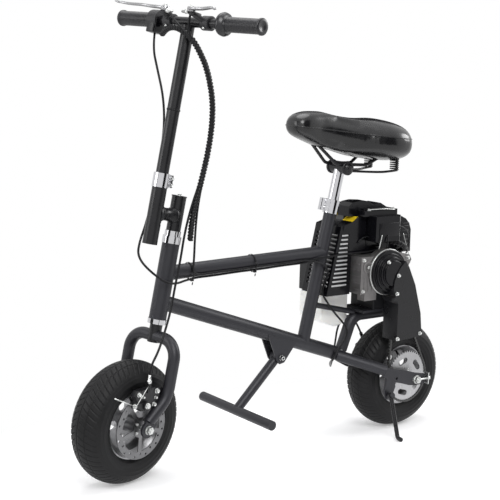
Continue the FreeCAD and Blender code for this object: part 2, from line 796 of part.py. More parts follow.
def fork_leg():
    """Tube welded to the steerer's side, bent over the tyre and down, then swept to the axle."""
    drop = front_axle + Y_AXIS * leg_y
    start = on_axis(leg_top, 0, 6)
    corner = on_axis(leg_top, 0, leg_y)
    knee = on_axis(leg_knee, 0, leg_y)
    leg = bent_bar([start, corner, knee, drop + V(0, 0, 16)], [leg_bend, knee_bend], leg_od)
    leg = leg.cut(cylinder(on_axis(steerer_low), on_axis(head_low), steerer_od))
    tip = cylinder(drop - Y_AXIS * 3, drop + Y_AXIS * 3, 36)
    leg = leg.cut(cylinder(drop - Y_AXIS * 30, drop + Y_AXIS * 30, 34))
    neck = cylinder(drop + V(-8, 0, 12) - Y_AXIS * 3, drop + V(-8, 0, 12) + Y_AXIS * 3, 34)
    body = fuse([leg, tip, neck])
    return body.cut(cylinder(drop - Y_AXIS * 9, drop + Y_AXIS * 9, 2 * axle_radius))


def front_axle_set():
    outer = leg_y + 3
    shaft = cylinder(front_axle - Y_AXIS * (outer + 12), front_axle + Y_AXIS * (outer + 12),
                     2 * axle_radius)
    parts = [shaft]
    for side in (-1, 1):
        face = front_axle + Y_AXIS * (side * outer)
        parts.append(ring(face, face + Y_AXIS * (side * 1.6), 20, 8))
        parts.append(hexagon(face + Y_AXIS * (side * 1.6), side, 9, 7.5))
    return fuse(parts)


def stem():
    """Sleeve over the steerer, a bridge forwards, and the tube that the mast slides in."""
    sleeve = cylinder(on_axis(sleeve_low), on_axis(sleeve_high), sleeve_od)
    bridge = cylinder(on_axis(bridge_height), on_mast(bridge_height), 26)
    socket = cylinder(on_mast(bar_tube_low), on_mast(collar_low), bar_tube_od)
    groove = ring(on_mast(bar_tube_low + 46), on_mast(bar_tube_low + 49), bar_tube_od + 2,
                  bar_tube_od - 1.4)
    body = fuse([sleeve, bridge, socket])
    body = body.cut(cylinder(on_axis(sleeve_low - 1), on_axis(sleeve_high - 6), steerer_od))
    body = body.cut(cylinder(on_mast(bar_tube_low - 1), on_mast(collar_low + 1),
                             mast_od + 2 * mast_clearance))
    return body.cut(groove)


def bar_collar():
    """Chromed split collar with two bolted ears that grips the mast."""
    band = cylinder(on_mast(collar_low), on_mast(collar_high), 37)
    parts = [band]
    for height in (collar_low + 8, collar_low + 23):
        at = on_mast(height, -22)
        parts.append(cylinder(at - Y_AXIS * 12, at + Y_AXIS * 12, 12))
    block = box(-14, 0, -9, 9, 0, 28)
    block.rotate(V(0, 0, 0), Y_AXIS, head_angle - 90)
    block.translate(on_mast(collar_low + 2, -14))
    body = fuse(parts + [block])
    body = body.cut(cylinder(on_mast(collar_low - 1), on_mast(collar_high + 1),
                             mast_od + 2 * mast_clearance))
    gap = box(-60, 0, -1.2, 1.2, -20, 60)
    gap.translate(on_mast(collar_low, -12))
    return body.cut(gap)


def caliper(plane, side):
    """Cable-pulled disc caliper: a body astride the disc's edge, its pull arm and cable stop."""
    outer = side_plate([(-34, 62), (-34, 86), (-20, 93), (30, 93), (38, 82), (20, 46), (-12, 46)], 3.5, 19)
    inner = side_plate([(-22, 56), (-22, 79), (-12, 82), (12, 82), (22, 79), (18, 50), (-12, 50)], -5.5, 3.5)
    inner = inner.cut(box(-50, 50, -3.5, 3.5, 40, rotor_radius + 2.5))
    arm = side_plate([(4, 52), (14, 50), (50, 60), (50, 68), (10, 64)], 19, 23)
    barrel = cylinder(V(8, 18, 58), V(8, 27, 58), 20)
    stop = cylinder(V(0, stop_side, 88), V(0, stop_side, stop_top), 9)
    foot = box(-6, 6, 12, stop_side + 3, 86, 93)
    body = fuse([outer, inner, arm, barrel, foot, stop])
    if side < 0:
        body = mirrored(body)
    body.translate(V(0, plane, 0))
    return body


def front_caliper():
    body = caliper(rotor_plane, 1)
    lug = box(-58, -24, rotor_plane + 9, rotor_plane + 15, 64, 86)
    body = fuse([body, lug])
    body.translate(front_axle)
    return body.cut(fork_leg())


def rear_caliper():
    plane = -(chain_plane - sprocket_thickness / 2 + rotor_thickness / 2)
    body = caliper(plane, -1)
    body.rotate(V(0, 0, 0), Y_AXIS, rear_caliper_turn)
    body.translate(rear_axle)
    lug = box(24, 44, 3 - stay_y, plane - 10, 160, 200)
    return fuse([body, lug])


# Bars
def mast():
    return tube(on_mast(mast_low), on_mast(bar_height - handlebar_od / 2 + 3), mast_od, tube_wall).cut(
        cylinder(on_mast(bar_height, 0, -60), on_mast(bar_height, 0, 60), handlebar_od))


def handlebar():
    ends = (on_mast(bar_height, 0, -handlebar_half + 2), on_mast(bar_height, 0, handlebar_half - 2))
    return tube(ends[0], ends[1], handlebar_od, handlebar_wall)


def grips():
    pair = []
    for side in (-1, 1):
        inner = side * (handlebar_half - grip_length)
        outer = side * handlebar_half
        body = cylinder(on_mast(bar_height, 0, inner), on_mast(bar_height, 0, outer), grip_od)
        flange = cylinder(on_mast(bar_height, 0, outer - side * 5), on_mast(bar_height, 0, outer), 37)
        parts = [body, flange]
        if side > 0:
            parts.append(cylinder(on_mast(bar_height, 0, inner - 16), on_mast(bar_height, 0, inner), 52))
        bore = cylinder(on_mast(bar_height, 0, inner - side * 20),
                        on_mast(bar_height, 0, outer - side * 2), handlebar_od)
        pair.append(fuse(parts).cut(bore))
    return Part.makeCompound(pair)


def brake_levers():
    """Alloy lever blades: pivot near the stem, sweeping out ahead of the grips."""
    levers = []
    for side, tip in ((-1, 77.0), (1, 3.0)):
        pivot_y = grip_inner - perch_inset - 6
        points = [on_mast(bar_height + 20, 40, side * pivot_y),
                  on_mast(bar_height + 22, 46, side * (pivot_y + 38)),
                  on_mast(bar_height + 26, 44, side * (grip_inner + tip))]
        blade = bent_bar(points, [60], 9)
        knob = Part.makeSphere(6.5, points[2])
        boss = cylinder(points[0] - steer_up * 5, points[0] + steer_up * 5, 18)
        levers.append(fuse([blade, knob, boss]))
    return Part.makeCompound(levers)


def control_housings():
    """Lever clamps and the throttle housing on the bar."""
    parts = []
    for side in (-1, 1):
        perch = grip_inner - perch_inset
        clamp = ring(on_mast(bar_height, 0, side * perch),
                     on_mast(bar_height, 0, side * (perch + perch_length)), perch_od, handlebar_od)
        arm_low = on_mast(bar_height + 4, 12, side * (perch + 6))
        arm_high = on_mast(bar_height + 14, 44, side * (perch - 4))
        arm = cylinder(arm_low, arm_high, 12)
        parts.append(fuse([clamp, arm]))
    throttle = ring(on_mast(bar_height, 0, 1 - grip_inner + throttle_length),
                    on_mast(bar_height, 0, 1 - grip_inner), throttle_od, handlebar_od)
    parts.append(throttle)
    return Part.makeCompound(parts).cut(brake_levers())


# Saddle
def seat_post():
    return tube(on_seat_line(post_low), on_seat_line(post_high), post_od, 2)


def saddle_rails():
    """Post clamp with two sprung rails."""
    top = on_seat_line(post_high)
    clamp = cylinder(top - Y_AXIS * 26, top + Y_AXIS * 26, 30)
    parts = [clamp]
    for side in (-1, 1):
        nose = V(top.x + 96, side * 8, top.z + 70)
        mid = V(top.x + 30, side * 21, top.z + 10)
        back = V(top.x - 60, side * 30, top.z + 6)
        rear = V(top.x - 120, side * 44, top.z + 40)
        parts.append(bent_bar([nose, mid, back, rear], [24, 30], 8))
    body = fuse(parts)
    return body.cut(cylinder(on_seat_line(post_low), on_seat_line(post_high), post_od)).cut(saddle())


def saddle():
    """Closed pad: a broad tail that narrows to the nose, lofted through a few sections."""
    sections = [
        # x, half width, underside z, top z
        (8.0, 58.0, 714.0, 774.0),
        (40.0, 92.0, 703.0, 796.0),
        (92.0, 107.0, 708.0, 806.0),
        (165.0, 92.0, 724.0, 813.0),
        (250.0, 54.0, 742.0, 820.0),
        (330.0, 38.0, 764.0, 828.0),
        (374.0, 24.0, 780.0, 814.0),
    ]
    wires = []
    for x, half, low, high in sections:
        mid = (low + high) / 2
        wires.append(Part.Wire([
            Part.LineSegment(V(x, -half * 0.72, low), V(x, half * 0.72, low)).toShape(),
            Part.Arc(V(x, half * 0.72, low), V(x, half, mid), V(x, half * 0.66, high - 5)).toShape(),
            Part.Arc(V(x, half * 0.66, high - 5), V(x, 0, high), V(x, -half * 0.66, high - 5)).toShape(),
            Part.Arc(V(x, -half * 0.66, high - 5), V(x, -half, mid), V(x, -half * 0.72, low)).toShape(),
        ]))
    return Part.makeLoft(wires, True, True)


# Side stand, folding back about a tilted bolt
def stand_leg(foot):
    """Round leg from its bolt to the floor, with a short turned-out toe."""
    knee = foot + V(-2, -13, 6)
    eye_axis = stand_axis(foot)
    eye = cylinder(stand_pivot - eye_axis * 3.4, stand_pivot + eye_axis * 3.4, 18)
    leg = bent_bar([stand_pivot, knee, foot + V(0, 2, stand_od / 2)], [9], stand_od)
    bore = cylinder(stand_pivot - eye_axis * 9, stand_pivot + eye_axis * 9,
                    stand_bolt + 2 * bearing_clearance)
    body = fuse([eye, leg])
    body = body.cut(bore)
    for sign in (-1, 1):
        inner = stand_pivot + eye_axis * (sign * 3.4)
        body = body.cut(cylinder(inner, inner + eye_axis * (sign * 5.6), 17))
    return body


def stand_axis(foot):
    down = (foot - stand_pivot).normalize()
    axis = down.cross(V(-1, 0, 0))
    return axis.normalize()


# Cables, hand-placed points on the upright machine
def control_cables():
    """Throttle, front brake and rear brake cables, down the stem and then under the top tube."""
    cable_stop = front_axle + V(0, rotor_plane + stop_side, stop_top + 0.4)
    stop_turn = math.radians(rear_caliper_turn)
    stop_out = V(math.sin(stop_turn), 0, math.cos(stop_turn))
    rear_plane = -(chain_plane - sprocket_thickness / 2 + rotor_thickness / 2)
    rear_stop = rear_axle + stop_out * (stop_top + 0.4) + Y_AXIS * (rear_plane - stop_side)

    def below_top(x, left, down):
        """A point beside the top tube, measured from its middle line."""
        start, end = on_axis(top_head), on_seat_line(top_seat)
        return V(x, left, start.z + (end.z - start.z) * (start.x - x) / (start.x - end.x) - down)

    throttle = [on_mast(871.2, 3, -98), on_mast(832, 12, -86), on_mast(785, 22, -50), on_mast(725, 26, -20),
                on_mast(660, 23, -4), on_mast(590, 26, 0), on_mast(520, 26, 2), on_mast(450, 25, 6),
                on_mast(385, 20, 12), on_mast(345, 0, 24)]
    tied = ((656, 0.0), (592, 1.2), (526, 0.0), (458, 1.2), (392, 0.0), (326, 1.0))
    throttle_fixed = [on_axis(316, 4, 34)] + [below_top(x, 13.6, 15.6 + sag) for x, sag in tied]
    throttle_fixed += [V(296, 19, 468), V(262, 25, 473), V(226, 30, 476), V(186, 31, 477),
                       V(150, 33, 477), V(118, 37, 480), V(92, 38, 487), V(88, 19.5, 488)]
    front = [on_mast(908, 35.3, 35.2), on_mast(890, 34, 32), on_mast(868, 28, 32), on_mast(840, 0, 36),
             on_mast(800, -36, 44), on_mast(745, -60, 50), on_mast(684, -74, 52), on_mast(622, -76, 52),
             on_mast(560, -72, 50), on_mast(500, -62, 46), on_mast(440, -58, 44),
             on_mast(380, -60, 44), on_mast(320, -58, 44), on_mast(262, -54, 48),
             on_mast(214, -36, 58), on_mast(172, -14, 70), cable_stop + V(0, 0, 34), cable_stop]
    rear = [on_mast(905, 44, -20), on_mast(892, 40, -8), on_mast(878, 36, 12), on_mast(850, 14, 40),
            on_mast(806, -26, 52), on_mast(746, -56, 59), on_mast(684, -68, 61), on_mast(622, -70, 61),
            on_mast(560, -70, 58), on_mast(498, -76, 52), on_mast(440, -92, 44)]
    rear_fixed = [on_axis(380, -44, 38)] + [below_top(x, 18.8, 9.4 - sag) for x, sag in tied]
    rear_fixed += [V(296, 22, 463), V(272, 24, 455), on_seat_line(436, -20.7) + Y_AXIS * 19]
    rear_fixed += [on_seat_line(z, -20.7) + Y_AXIS * 9 for z in (410, 382)]
    rear_fixed += [V(244, 12.5, 352), V(222, 13.5, 326), V(200, 17, 303), V(184, 20, 284), V(183, 20.5, 262),
                   V(202, 22, 242), V(222, 23, 224), V(222, 14, 202), V(212, -4, 196), V(194, -28, 182),
                   V(164, -60, 164), V(138, -90, 154), V(116, -108, 166), V(110, -107, 212),
                   V(116, -94, 256), V(106, -80, 292), rear_stop + stop_out * 46, rear_stop]
    routes = [(throttle, throttle_fixed), (front, []), (rear, rear_fixed)]
    wires = []
    for steered, fixed in routes:
        wires.append(cable([turned(p, steer_foot, steer_up, steer_rest) for p in steered] + fixed, cable_od))
    return Part.makeCompound(wires)


# Which nodes move together
def chassis():
    stays = rear_stays()
    return {
        "head_tube": head_tube(), "headset": headset(), "top_tube": top_tube(),
        "down_tube": down_tube(), "seat_tube": seat_tube(), "seat_clamp": seat_clamp(),
        "rear_stays": Part.makeCompound([stays["left"], stays["right"]]),
        "rear_axle": rear_axle_set(), "engine_cradle": engine_cradle(), "engine_mount": engine_mount(),
        "engine_block": engine_block(), "clutch_bell": clutch_bell(), "chain_case": chain_case(),
        "engine_shroud": louvred_shroud(), "air_cleaner": air_cleaner(),
        "recoil_starter": recoil_starter(), "muffler": muffler(), "fuel_tank": fuel_tank(),
        "drive_chain": chain(), "rear_caliper": rear_caliper(), "footrest_bracket": footrest_bracket(),
    }


def steering():
    left = fork_leg()
    return {
        "steerer": steerer(), "fork_legs": Part.makeCompound([left, mirrored(left)]),
        "front_axle": front_axle_set(), "stem": stem(), "bar_collar": bar_collar(),
        "front_caliper": front_caliper(),
    }


def bars():
    return {"mast": mast(), "handlebar": handlebar(), "grips": grips(),
            "brake_levers": brake_levers(), "control_housings": control_housings()}


def seat():
    return {"seat_post": seat_post(), "saddle_rails": saddle_rails(), "saddle": saddle()}


# Rest: lean and pitch the machine so that both tyres and the stand's toe meet the floor
def turned(point, centre, axis, degrees):
    return centre + FreeCAD.Rotation(axis, degrees).multVec(point - centre)


def leaned(point, pitch):
    point = FreeCAD.Rotation(Y_AXIS, pitch).multVec(point)
    return FreeCAD.Rotation(V(1, 0, 0), -lean_rest).multVec(point)


def wheel_bottom(axle, axle_side, pitch):
    """Height of a tyre's lowest point below the leaned frame's zero."""
    middle = leaned(axle, pitch)
    side = (leaned(axle + axle_side, pitch) - middle).normalize()
    upright = math.sqrt(1 - side.z ** 2)
    return middle.z - (tyre_radius - crown_radius) * upright - crown_radius


steered_side = FreeCAD.Rotation(steer_up, steer_rest).multVec(Y_AXIS)
steered_axle = turned(front_axle, steer_foot, steer_up, steer_rest)
pitch_rest = 0.0
for attempt in range(8):
    gap = wheel_bottom(steered_axle, steered_side, pitch_rest) - wheel_bottom(rear_axle, Y_AXIS, pitch_rest)
    pitch_rest += math.degrees(gap / wheelbase)
floor_level = wheel_bottom(rear_axle, Y_AXIS, pitch_rest)


def stand_foot():
    """Where the stand's toe meets the floor, in the upright machine's own frame."""
    out = V(stand_pivot.x + stand_forward, stand_pivot.y + stand_reach, 0)
    low = leaned(out, pitch_rest).z - floor_level
    return out - Z_AXIS * (low / math.cos(math.radians(lean_rest)))


def main():
    foot = stand_foot()
    groups = {
        "frame": chassis(),
        "steering": steering(),
        "bars": bars(),
        "cables": {"control_cables": control_cables()},
        "front_wheel": front_wheel(),
        "rear_wheel": rear_wheel(),
        "footrest": {"footrest": footrest()},
        "side_stand": {"side_stand": stand_leg(foot)},
        "seat": seat(),
    }
    for shape in groups["front_wheel"].values():
        shape.translate(front_axle)
    for shape in groups["rear_wheel"].values():
        shape.translate(rear_axle)
    for body in ("steering", "bars", "front_wheel"):
        for shape in groups[body].values():
            shape.rotate(steer_foot, steer_up, steer_rest)
    shapes = {}
    for nodes in groups.values():
        shapes.update(nodes)
    corners = []
    for shape in shapes.values():
        shape.rotate(V(0, 0, 0), Y_AXIS, pitch_rest)
        shape.rotate(V(0, 0, 0), V(1, 0, 0), -lean_rest)
        corners += shape.tessellate(0.2)[0]
    shift = V(-(min(p.x for p in corners) + max(p.x for p in corners)) / 2,
              -(min(p.y for p in corners) + max(p.y for p in corners)) / 2, -floor_level)
    os.makedirs("parts", exist_ok=True)
    for name, shape in shapes.items():
        shape.translate(shift)
        shape.exportStep("parts/" + name + ".step")

    def placed(point, steered=False):
        if steered:
            point = turned(point, steer_foot, steer_up, steer_rest)
        return leaned(point, pitch_rest) + shift

    hinge = stand_axis(foot)
    joints = [
        ("steering", on_axis(head_low), steer_up, False),
        ("front_wheel_spin", front_axle, Y_AXIS, True),
        ("rear_wheel_spin", rear_axle, Y_AXIS, False),
        ("side_stand_fold", stand_pivot, hinge, False),
        ("footrest_fold", V(rest_pivot_x, 0, rest_pivot_z), V(0, -1, 0), False),
        ("bar_height", on_mast(collar_high), steer_up, False),
        ("seat_height", on_seat_line(seat_tube_top), seat_up, False),
        ("mount_mast", on_mast(700), steer_up, True),
        ("mount_handlebar", on_mast(bar_height, 0, grip_inner - 28), Y_AXIS, True),
        ("mount_seat_post", on_seat_line(652), seat_up, False),
        ("mount_left_eye", V(eye_x, stay_y, tyre_radius + 12), Y_AXIS, False),
        ("mount_right_eye", V(eye_x, -stay_y, tyre_radius + 12), -Y_AXIS, False),
        ("opening_fork", on_axis(160), steer_up, True),
        ("opening_stays", V(153.5, 0, 196), Z_AXIS, False),
    ]
    for name, point, axis, steered in joints:
        at = placed(point, steered)
        way = placed(point + axis, steered) - at
        print("place", name, *(round(v, 4) for v in (at.x, at.y, at.z)),
              *(round(v, 6) for v in (way.x, way.y, way.z)))


main()
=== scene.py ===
import json
import math
import bmesh
import bpy
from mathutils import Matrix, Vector


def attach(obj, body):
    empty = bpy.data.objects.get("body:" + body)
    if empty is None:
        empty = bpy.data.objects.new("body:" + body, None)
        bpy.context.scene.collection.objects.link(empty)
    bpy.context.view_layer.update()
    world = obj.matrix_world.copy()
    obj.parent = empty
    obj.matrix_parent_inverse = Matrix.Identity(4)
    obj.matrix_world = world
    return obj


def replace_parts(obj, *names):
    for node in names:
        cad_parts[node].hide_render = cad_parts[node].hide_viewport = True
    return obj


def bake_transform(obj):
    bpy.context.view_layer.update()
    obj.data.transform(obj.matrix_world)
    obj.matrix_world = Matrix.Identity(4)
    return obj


# Seated minibike on its side stand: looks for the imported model, all in metres
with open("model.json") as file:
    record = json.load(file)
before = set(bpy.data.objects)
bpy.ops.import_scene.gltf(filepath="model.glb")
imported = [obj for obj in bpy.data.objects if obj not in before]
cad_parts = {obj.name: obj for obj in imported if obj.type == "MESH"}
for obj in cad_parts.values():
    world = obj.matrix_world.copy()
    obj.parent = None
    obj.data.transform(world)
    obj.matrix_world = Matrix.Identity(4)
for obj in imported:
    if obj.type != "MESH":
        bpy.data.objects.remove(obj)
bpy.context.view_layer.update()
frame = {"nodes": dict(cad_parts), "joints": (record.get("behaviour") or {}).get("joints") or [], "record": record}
nodes = frame["nodes"]
joints = {joint["name"]: joint for joint in frame["joints"]}
print("frame loaded:", len(nodes), "nodes")


# Joint axes that the pieces are placed by
def jointLine(name):
    joint = joints[name]
    axis = Vector(joint["axis"]).normalized()
    return Vector(joint.get("pos_m", (0, 0, 0))), axis


rearCentre, rearAxis = jointLine("rear_wheel_spin")
frontCentre, frontAxis = jointLine("front_wheel_spin")
steerPoint, steerAxis = jointLine("steering")


# Camera, placed from the rear wheel's centre as the photograph sees it
viewSettings = {
    "offset": (2.1561, 2.28146, 0.69161),
    "angles": (83.3017, 0.3235, 143.4292),
    "lens": 86.355,
    "sensor": 36.0,
}


def addCamera():
    data = bpy.data.cameras.new("camera")
    data.lens = viewSettings["lens"]
    data.sensor_width = viewSettings["sensor"]
    data.clip_end = 60
    camera = bpy.data.objects.new("camera", data)
    camera.location = rearCentre + Vector(viewSettings["offset"])
    camera.rotation_euler = [math.radians(a) for a in viewSettings["angles"]]
    bpy.context.scene.collection.objects.link(camera)
    bpy.context.scene.camera = camera


addCamera()
bpy.context.scene.view_settings.view_transform = "Standard"
print("camera set")


# Small tools for node trees
def newMaterial(name, colour, metallic=0.0, roughness=0.5, specular=0.5):
    material = bpy.data.materials.new(name)
    material.use_nodes = True
    shader = material.node_tree.nodes["Principled BSDF"]
    shader.inputs["Base Color"].default_value = (*colour, 1)
    shader.inputs["Metallic"].default_value = metallic
    shader.inputs["Roughness"].default_value = roughness
    shader.inputs["Specular IOR Level"].default_value = specular
    material.diffuse_color = (*colour, 1)
    return material


def noiseNode(tree, scale, detail=3.0, roughness=0.55, stretch=(1, 1, 1)):
    place = tree.nodes.new("ShaderNodeTexCoord")
    mapping = tree.nodes.new("ShaderNodeMapping")
    mapping.inputs["Scale"].default_value = stretch
    noise = tree.nodes.new("ShaderNodeTexNoise")
    noise.inputs["Scale"].default_value = scale
    noise.inputs["Detail"].default_value = detail
    noise.inputs["Roughness"].default_value = roughness
    tree.links.new(place.outputs["Object"], mapping.inputs["Vector"])
    tree.links.new(mapping.outputs["Vector"], noise.inputs["Vector"])
    return noise.outputs["Fac"]


def rampNode(tree, value, low, high, toLow, toHigh):
    ramp = tree.nodes.new("ShaderNodeMapRange")
    ramp.inputs["From Min"].default_value = low
    ramp.inputs["From Max"].default_value = high
    ramp.inputs["To Min"].default_value = toLow
    ramp.inputs["To Max"].default_value = toHigh
    tree.links.new(value, ramp.inputs["Value"])
    return ramp.outputs["Result"]


def mixColours(tree, factor, first, second):
    mix = tree.nodes.new("ShaderNodeMix")
    mix.data_type = "RGBA"
    tree.links.new(factor, mix.inputs["Factor"])
    for socket, colour in ((mix.inputs["A"], first), (mix.inputs["B"], second)):
        if isinstance(colour, tuple):
            socket.default_value = (*colour, 1)
        else:
            tree.links.new(colour, socket)
    return mix.outputs["Result"]


def bumpFrom(material, value, strength, distance):
    tree = material.node_tree
    shader = tree.nodes["Principled BSDF"]
    bump = tree.nodes.new("ShaderNodeBump")
    bump.inputs["Strength"].default_value = strength
    bump.inputs["Distance"].default_value = distance
    tree.links.new(value, bump.inputs["Height"])
    earlier = shader.inputs["Normal"].links
    if earlier:
        tree.links.new(earlier[0].from_socket, bump.inputs["Normal"])
    tree.links.new(bump.outputs["Normal"], shader.inputs["Normal"])


# Studio: white floor and world, soft lamps
studio = {
    "floorSize": 30.0,
    "floorColour": (0.86, 0.86, 0.87),
    "floorRough": 0.9,
    "floorGlow": 0.3,
    "worldSeen": 1.0,
    "worldLight": 0.42,
    "shadowSpread": (1.0, 1.7, 0.0),
    "shadowFade": (0.62, 1.15),
    "cards": [
        # dark card seen only in reflections: azimuth, distance, width, height
        (-10, 3.6, 2.5, 3.4),
        (103, 3.6, 2.5, 3.4),
        (226, 3.8, 2.0, 3.4),
    ],
    "lamps": [
        # name, place, aim, size, watts
        ("keyLamp", (1.2, 2.6, 2.6), (0.0, 0.0, 0.5), 1.8, 62.0),
        ("fillLamp", (2.6, -0.6, 1.5), (0.1, 0.0, 0.5), 1.6, 26.0),
        ("topLamp", (-0.2, -0.2, 3.0), (0.0, 0.0, 0.4), 2.2, 40.0),
        ("rimLamp", (-2.4, 0.6, 1.6), (-0.2, 0.0, 0.5), 1.2, 24.0),
    ],
}


def seenRay(tree):
    # 1 where the camera sees it straight, or in gloss or glass
    links = tree.links
    path = tree.nodes.new("ShaderNodeLightPath")
    first = tree.nodes.new("ShaderNodeMath")
    first.operation = "MAXIMUM"
    links.new(path.outputs["Is Camera Ray"], first.inputs[0])
    links.new(path.outputs["Is Glossy Ray"], first.inputs[1])
    second = tree.nodes.new("ShaderNodeMath")
    second.operation = "MAXIMUM"
    links.new(first.outputs[0], second.inputs[0])
    links.new(path.outputs["Is Transmission Ray"], second.inputs[1])
    return second.outputs[0]


def seenStrength(tree):
    # full strength where it is seen, less where it only lights the bike
    strength = tree.nodes.new("ShaderNodeMapRange")
    strength.inputs["To Min"].default_value = studio["worldLight"]
    strength.inputs["To Max"].default_value = studio["worldSeen"]
    tree.links.new(seenRay(tree), strength.inputs["Value"])
    return strength.outputs["Result"]


def addWorld():
    world = bpy.data.worlds.new("studioWorld")
    bpy.context.scene.world = world
    world.use_nodes = True
    tree = world.node_tree
    background = tree.nodes["Background"]
    background.inputs["Color"].default_value = (1, 1, 1, 1)
    tree.links.new(seenStrength(tree), background.inputs["Strength"])


def addFloor():
    mesh = bpy.data.meshes.new("studioFloor")
    half = studio["floorSize"]
    mesh.from_pydata([(-half, -half, 0), (half, -half, 0), (half, half, 0), (-half, half, 0)], [],
                     [(0, 1, 2, 3)])
    floor = bpy.data.objects.new("studioFloor", mesh)
    bpy.context.scene.collection.objects.link(floor)
    material = bpy.data.materials.new("paleFloor")
    material.use_nodes = True
    tree = material.node_tree
    shader = tree.nodes["Principled BSDF"]
    shader.inputs["Base Color"].default_value = (*studio["floorColour"], 1)
    shader.inputs["Roughness"].default_value = studio["floorRough"]
    shader.inputs["Specular IOR Level"].default_value = 0.0
    glow = tree.nodes.new("ShaderNodeEmission")
    glow.inputs["Color"].default_value = (1, 1, 1, 1)
    glow.inputs["Strength"].default_value = studio["floorGlow"]
    near = tree.nodes.new("ShaderNodeAddShader")
    tree.links.new(shader.outputs[0], near.inputs[0])
    tree.links.new(glow.outputs[0], near.inputs[1])
    seen = tree.nodes.new("ShaderNodeEmission")
    seen.inputs["Color"].default_value = (1, 1, 1, 1)
    tree.links.new(seenStrength(tree), seen.inputs["Strength"])
    place = tree.nodes.new("ShaderNodeTexCoord")
    flat = tree.nodes.new("ShaderNodeVectorMath")
    flat.operation = "MULTIPLY"
    flat.inputs[1].default_value = studio["shadowSpread"]
    tree.links.new(place.outputs["Object"], flat.inputs[0])
    reach = tree.nodes.new("ShaderNodeVectorMath")
    reach.operation = "LENGTH"
    tree.links.new(flat.outputs["Vector"], reach.inputs[0])
    fade = rampNode(tree, reach.outputs["Value"], *studio["shadowFade"], 0.0, 1.0)
    fade.node.interpolation_type = "SMOOTHSTEP"
    both = tree.nodes.new("ShaderNodeMixShader")
    tree.links.new(fade, both.inputs["Fac"])
    tree.links.new(near.outputs[0], both.inputs[1])
    tree.links.new(seen.outputs[0], both.inputs[2])
    tree.links.new(both.outputs[0], tree.nodes["Material Output"].inputs["Surface"])
    mesh.materials.append(material)


def addCards():
    dark = newMaterial("darkCard", (0.012, 0.012, 0.012), 0.0, 0.9, 0.0)
    for number, (azimuth, distance, width, height) in enumerate(studio["cards"]):
        turn = math.radians(azimuth)
        middle = Vector((math.cos(turn), math.sin(turn), 0)) * distance
        across = Vector((-math.sin(turn), math.cos(turn), 0)) * (width / 2)
        tall = Vector((0, 0, height))
        mesh = bpy.data.meshes.new("card%d" % number)
        low, high = [middle - across, middle + across], [middle + across + tall, middle - across + tall]
        mesh.from_pydata(low + high, [], [(0, 1, 2, 3)])
        card = bpy.data.objects.new("card%d" % number, mesh)
        bpy.context.scene.collection.objects.link(card)
        mesh.materials.append(dark)
        card.visible_camera = False
        card.visible_diffuse = False
        card.visible_shadow = False


def addLamps():
    for name, place, aim, size, watts in studio["lamps"]:
        data = bpy.data.lights.new(name, "AREA")
        data.shape = "DISK"
        data.size = size
        data.energy = watts
        lamp = bpy.data.objects.new(name, data)
        lamp.location = place
        lamp.rotation_euler = (Vector(aim) - Vector(place)).to_track_quat("-Z", "Y").to_euler()
        bpy.context.scene.collection.objects.link(lamp)


addWorld()
addFloor()
addCards()
addLamps()
print("studio set")


# Finishes: painted, cast and moulded ones have a cloudy colour, a varied gloss and a fine grain
surfaceFacts = {
    # clouds and grain: scale, detail and so on of the noise; gloss: least and most roughness
    "framePaint": {
        "plain": (0.020, 0.020, 0.025), "metallic": 0.3, "roughness": 0.42, "specular": 0.5,
        "clouds": (14, 3), "colours": ((0.017, 0.017, 0.021), (0.026, 0.026, 0.032)),
        "grain": (1500, 2), "gloss": (0.36, 0.5), "glossFrom": "grain", "bump": (0.16, 0.0003),
    },
    "satinBlack": {
        "plain": (0.008, 0.008, 0.009), "metallic": 0.0, "roughness": 0.36, "specular": 0.34,
        "clouds": (22, 3), "colours": ((0.006, 0.006, 0.007), (0.012, 0.012, 0.014)),
        "grain": (900, 2), "gloss": (0.24, 0.36), "glossFrom": "clouds", "bump": (0.12, 0.0002),
    },
    "castAlloy": {
        "plain": (0.52, 0.52, 0.53), "metallic": 0.85, "roughness": 0.42, "specular": 0.5,
        "clouds": (35, 4), "colours": ((0.13, 0.125, 0.125), (0.30, 0.29, 0.29)),
        "grain": (420, 4, 0.65), "gloss": (0.34, 0.55), "glossFrom": "grain", "bump": (0.35, 0.0005),
    },
    "glossMoulding": {
        "plain": (0.005, 0.005, 0.006), "metallic": 0.0, "roughness": 0.2, "specular": 0.24,
        "clouds": (40, 3), "colours": ((0.003, 0.003, 0.004), (0.007, 0.0068, 0.009)),
        "grain": (800, 2), "gloss": (0.12, 0.24), "glossFrom": "clouds", "bump": (0.08, 0.0002),
    },
    "darkMoulding": {
        "plain": (0.022, 0.022, 0.024), "metallic": 0.0, "roughness": 0.5, "specular": 0.45,
        "clouds": (30, 3), "colours": ((0.017, 0.017, 0.019), (0.028, 0.028, 0.031)),
        "grain": (1300, 2), "gloss": (0.44, 0.6), "glossFrom": "grain", "bump": (0.2, 0.0002),
    },
}
tankFacts = {
    "plain": (0.86, 0.86, 0.83),
    "roughness": 0.38,
    "specular": 0.45,
    "depth": 0.35,   # share of light that enters the plastic
    "reach": (0.012, 0.011, 0.009),
    "reachScale": 0.4,
    # painted light: the tank glows faintly in this colour, to look lighter than the lamps make it
    "lift": (0.9, 0.89, 0.9),
    "paintedGlowStrength": 0.16,
    "clouds": (12, 2),
    "colours": ((0.80, 0.80, 0.76), (0.90, 0.90, 0.88)),
    "grain": (260, 2),
    "bump": (0.1, 0.0003),
}
vinylFacts = {
    "plain": (0.006, 0.006, 0.007),
    "roughness": 0.3,
    "specular": 0.42,
    "coat": 0.25,
    "coatRoughness": 0.12,
    "cellScale": 620,
    "cellEdge": 0.12,
    "clouds": (26, 3),
    "colours": ((0.005, 0.005, 0.006), (0.011, 0.011, 0.012)),
    "gloss": (0.2, 0.3),
    "bump": (0.05, 0.0002),
}
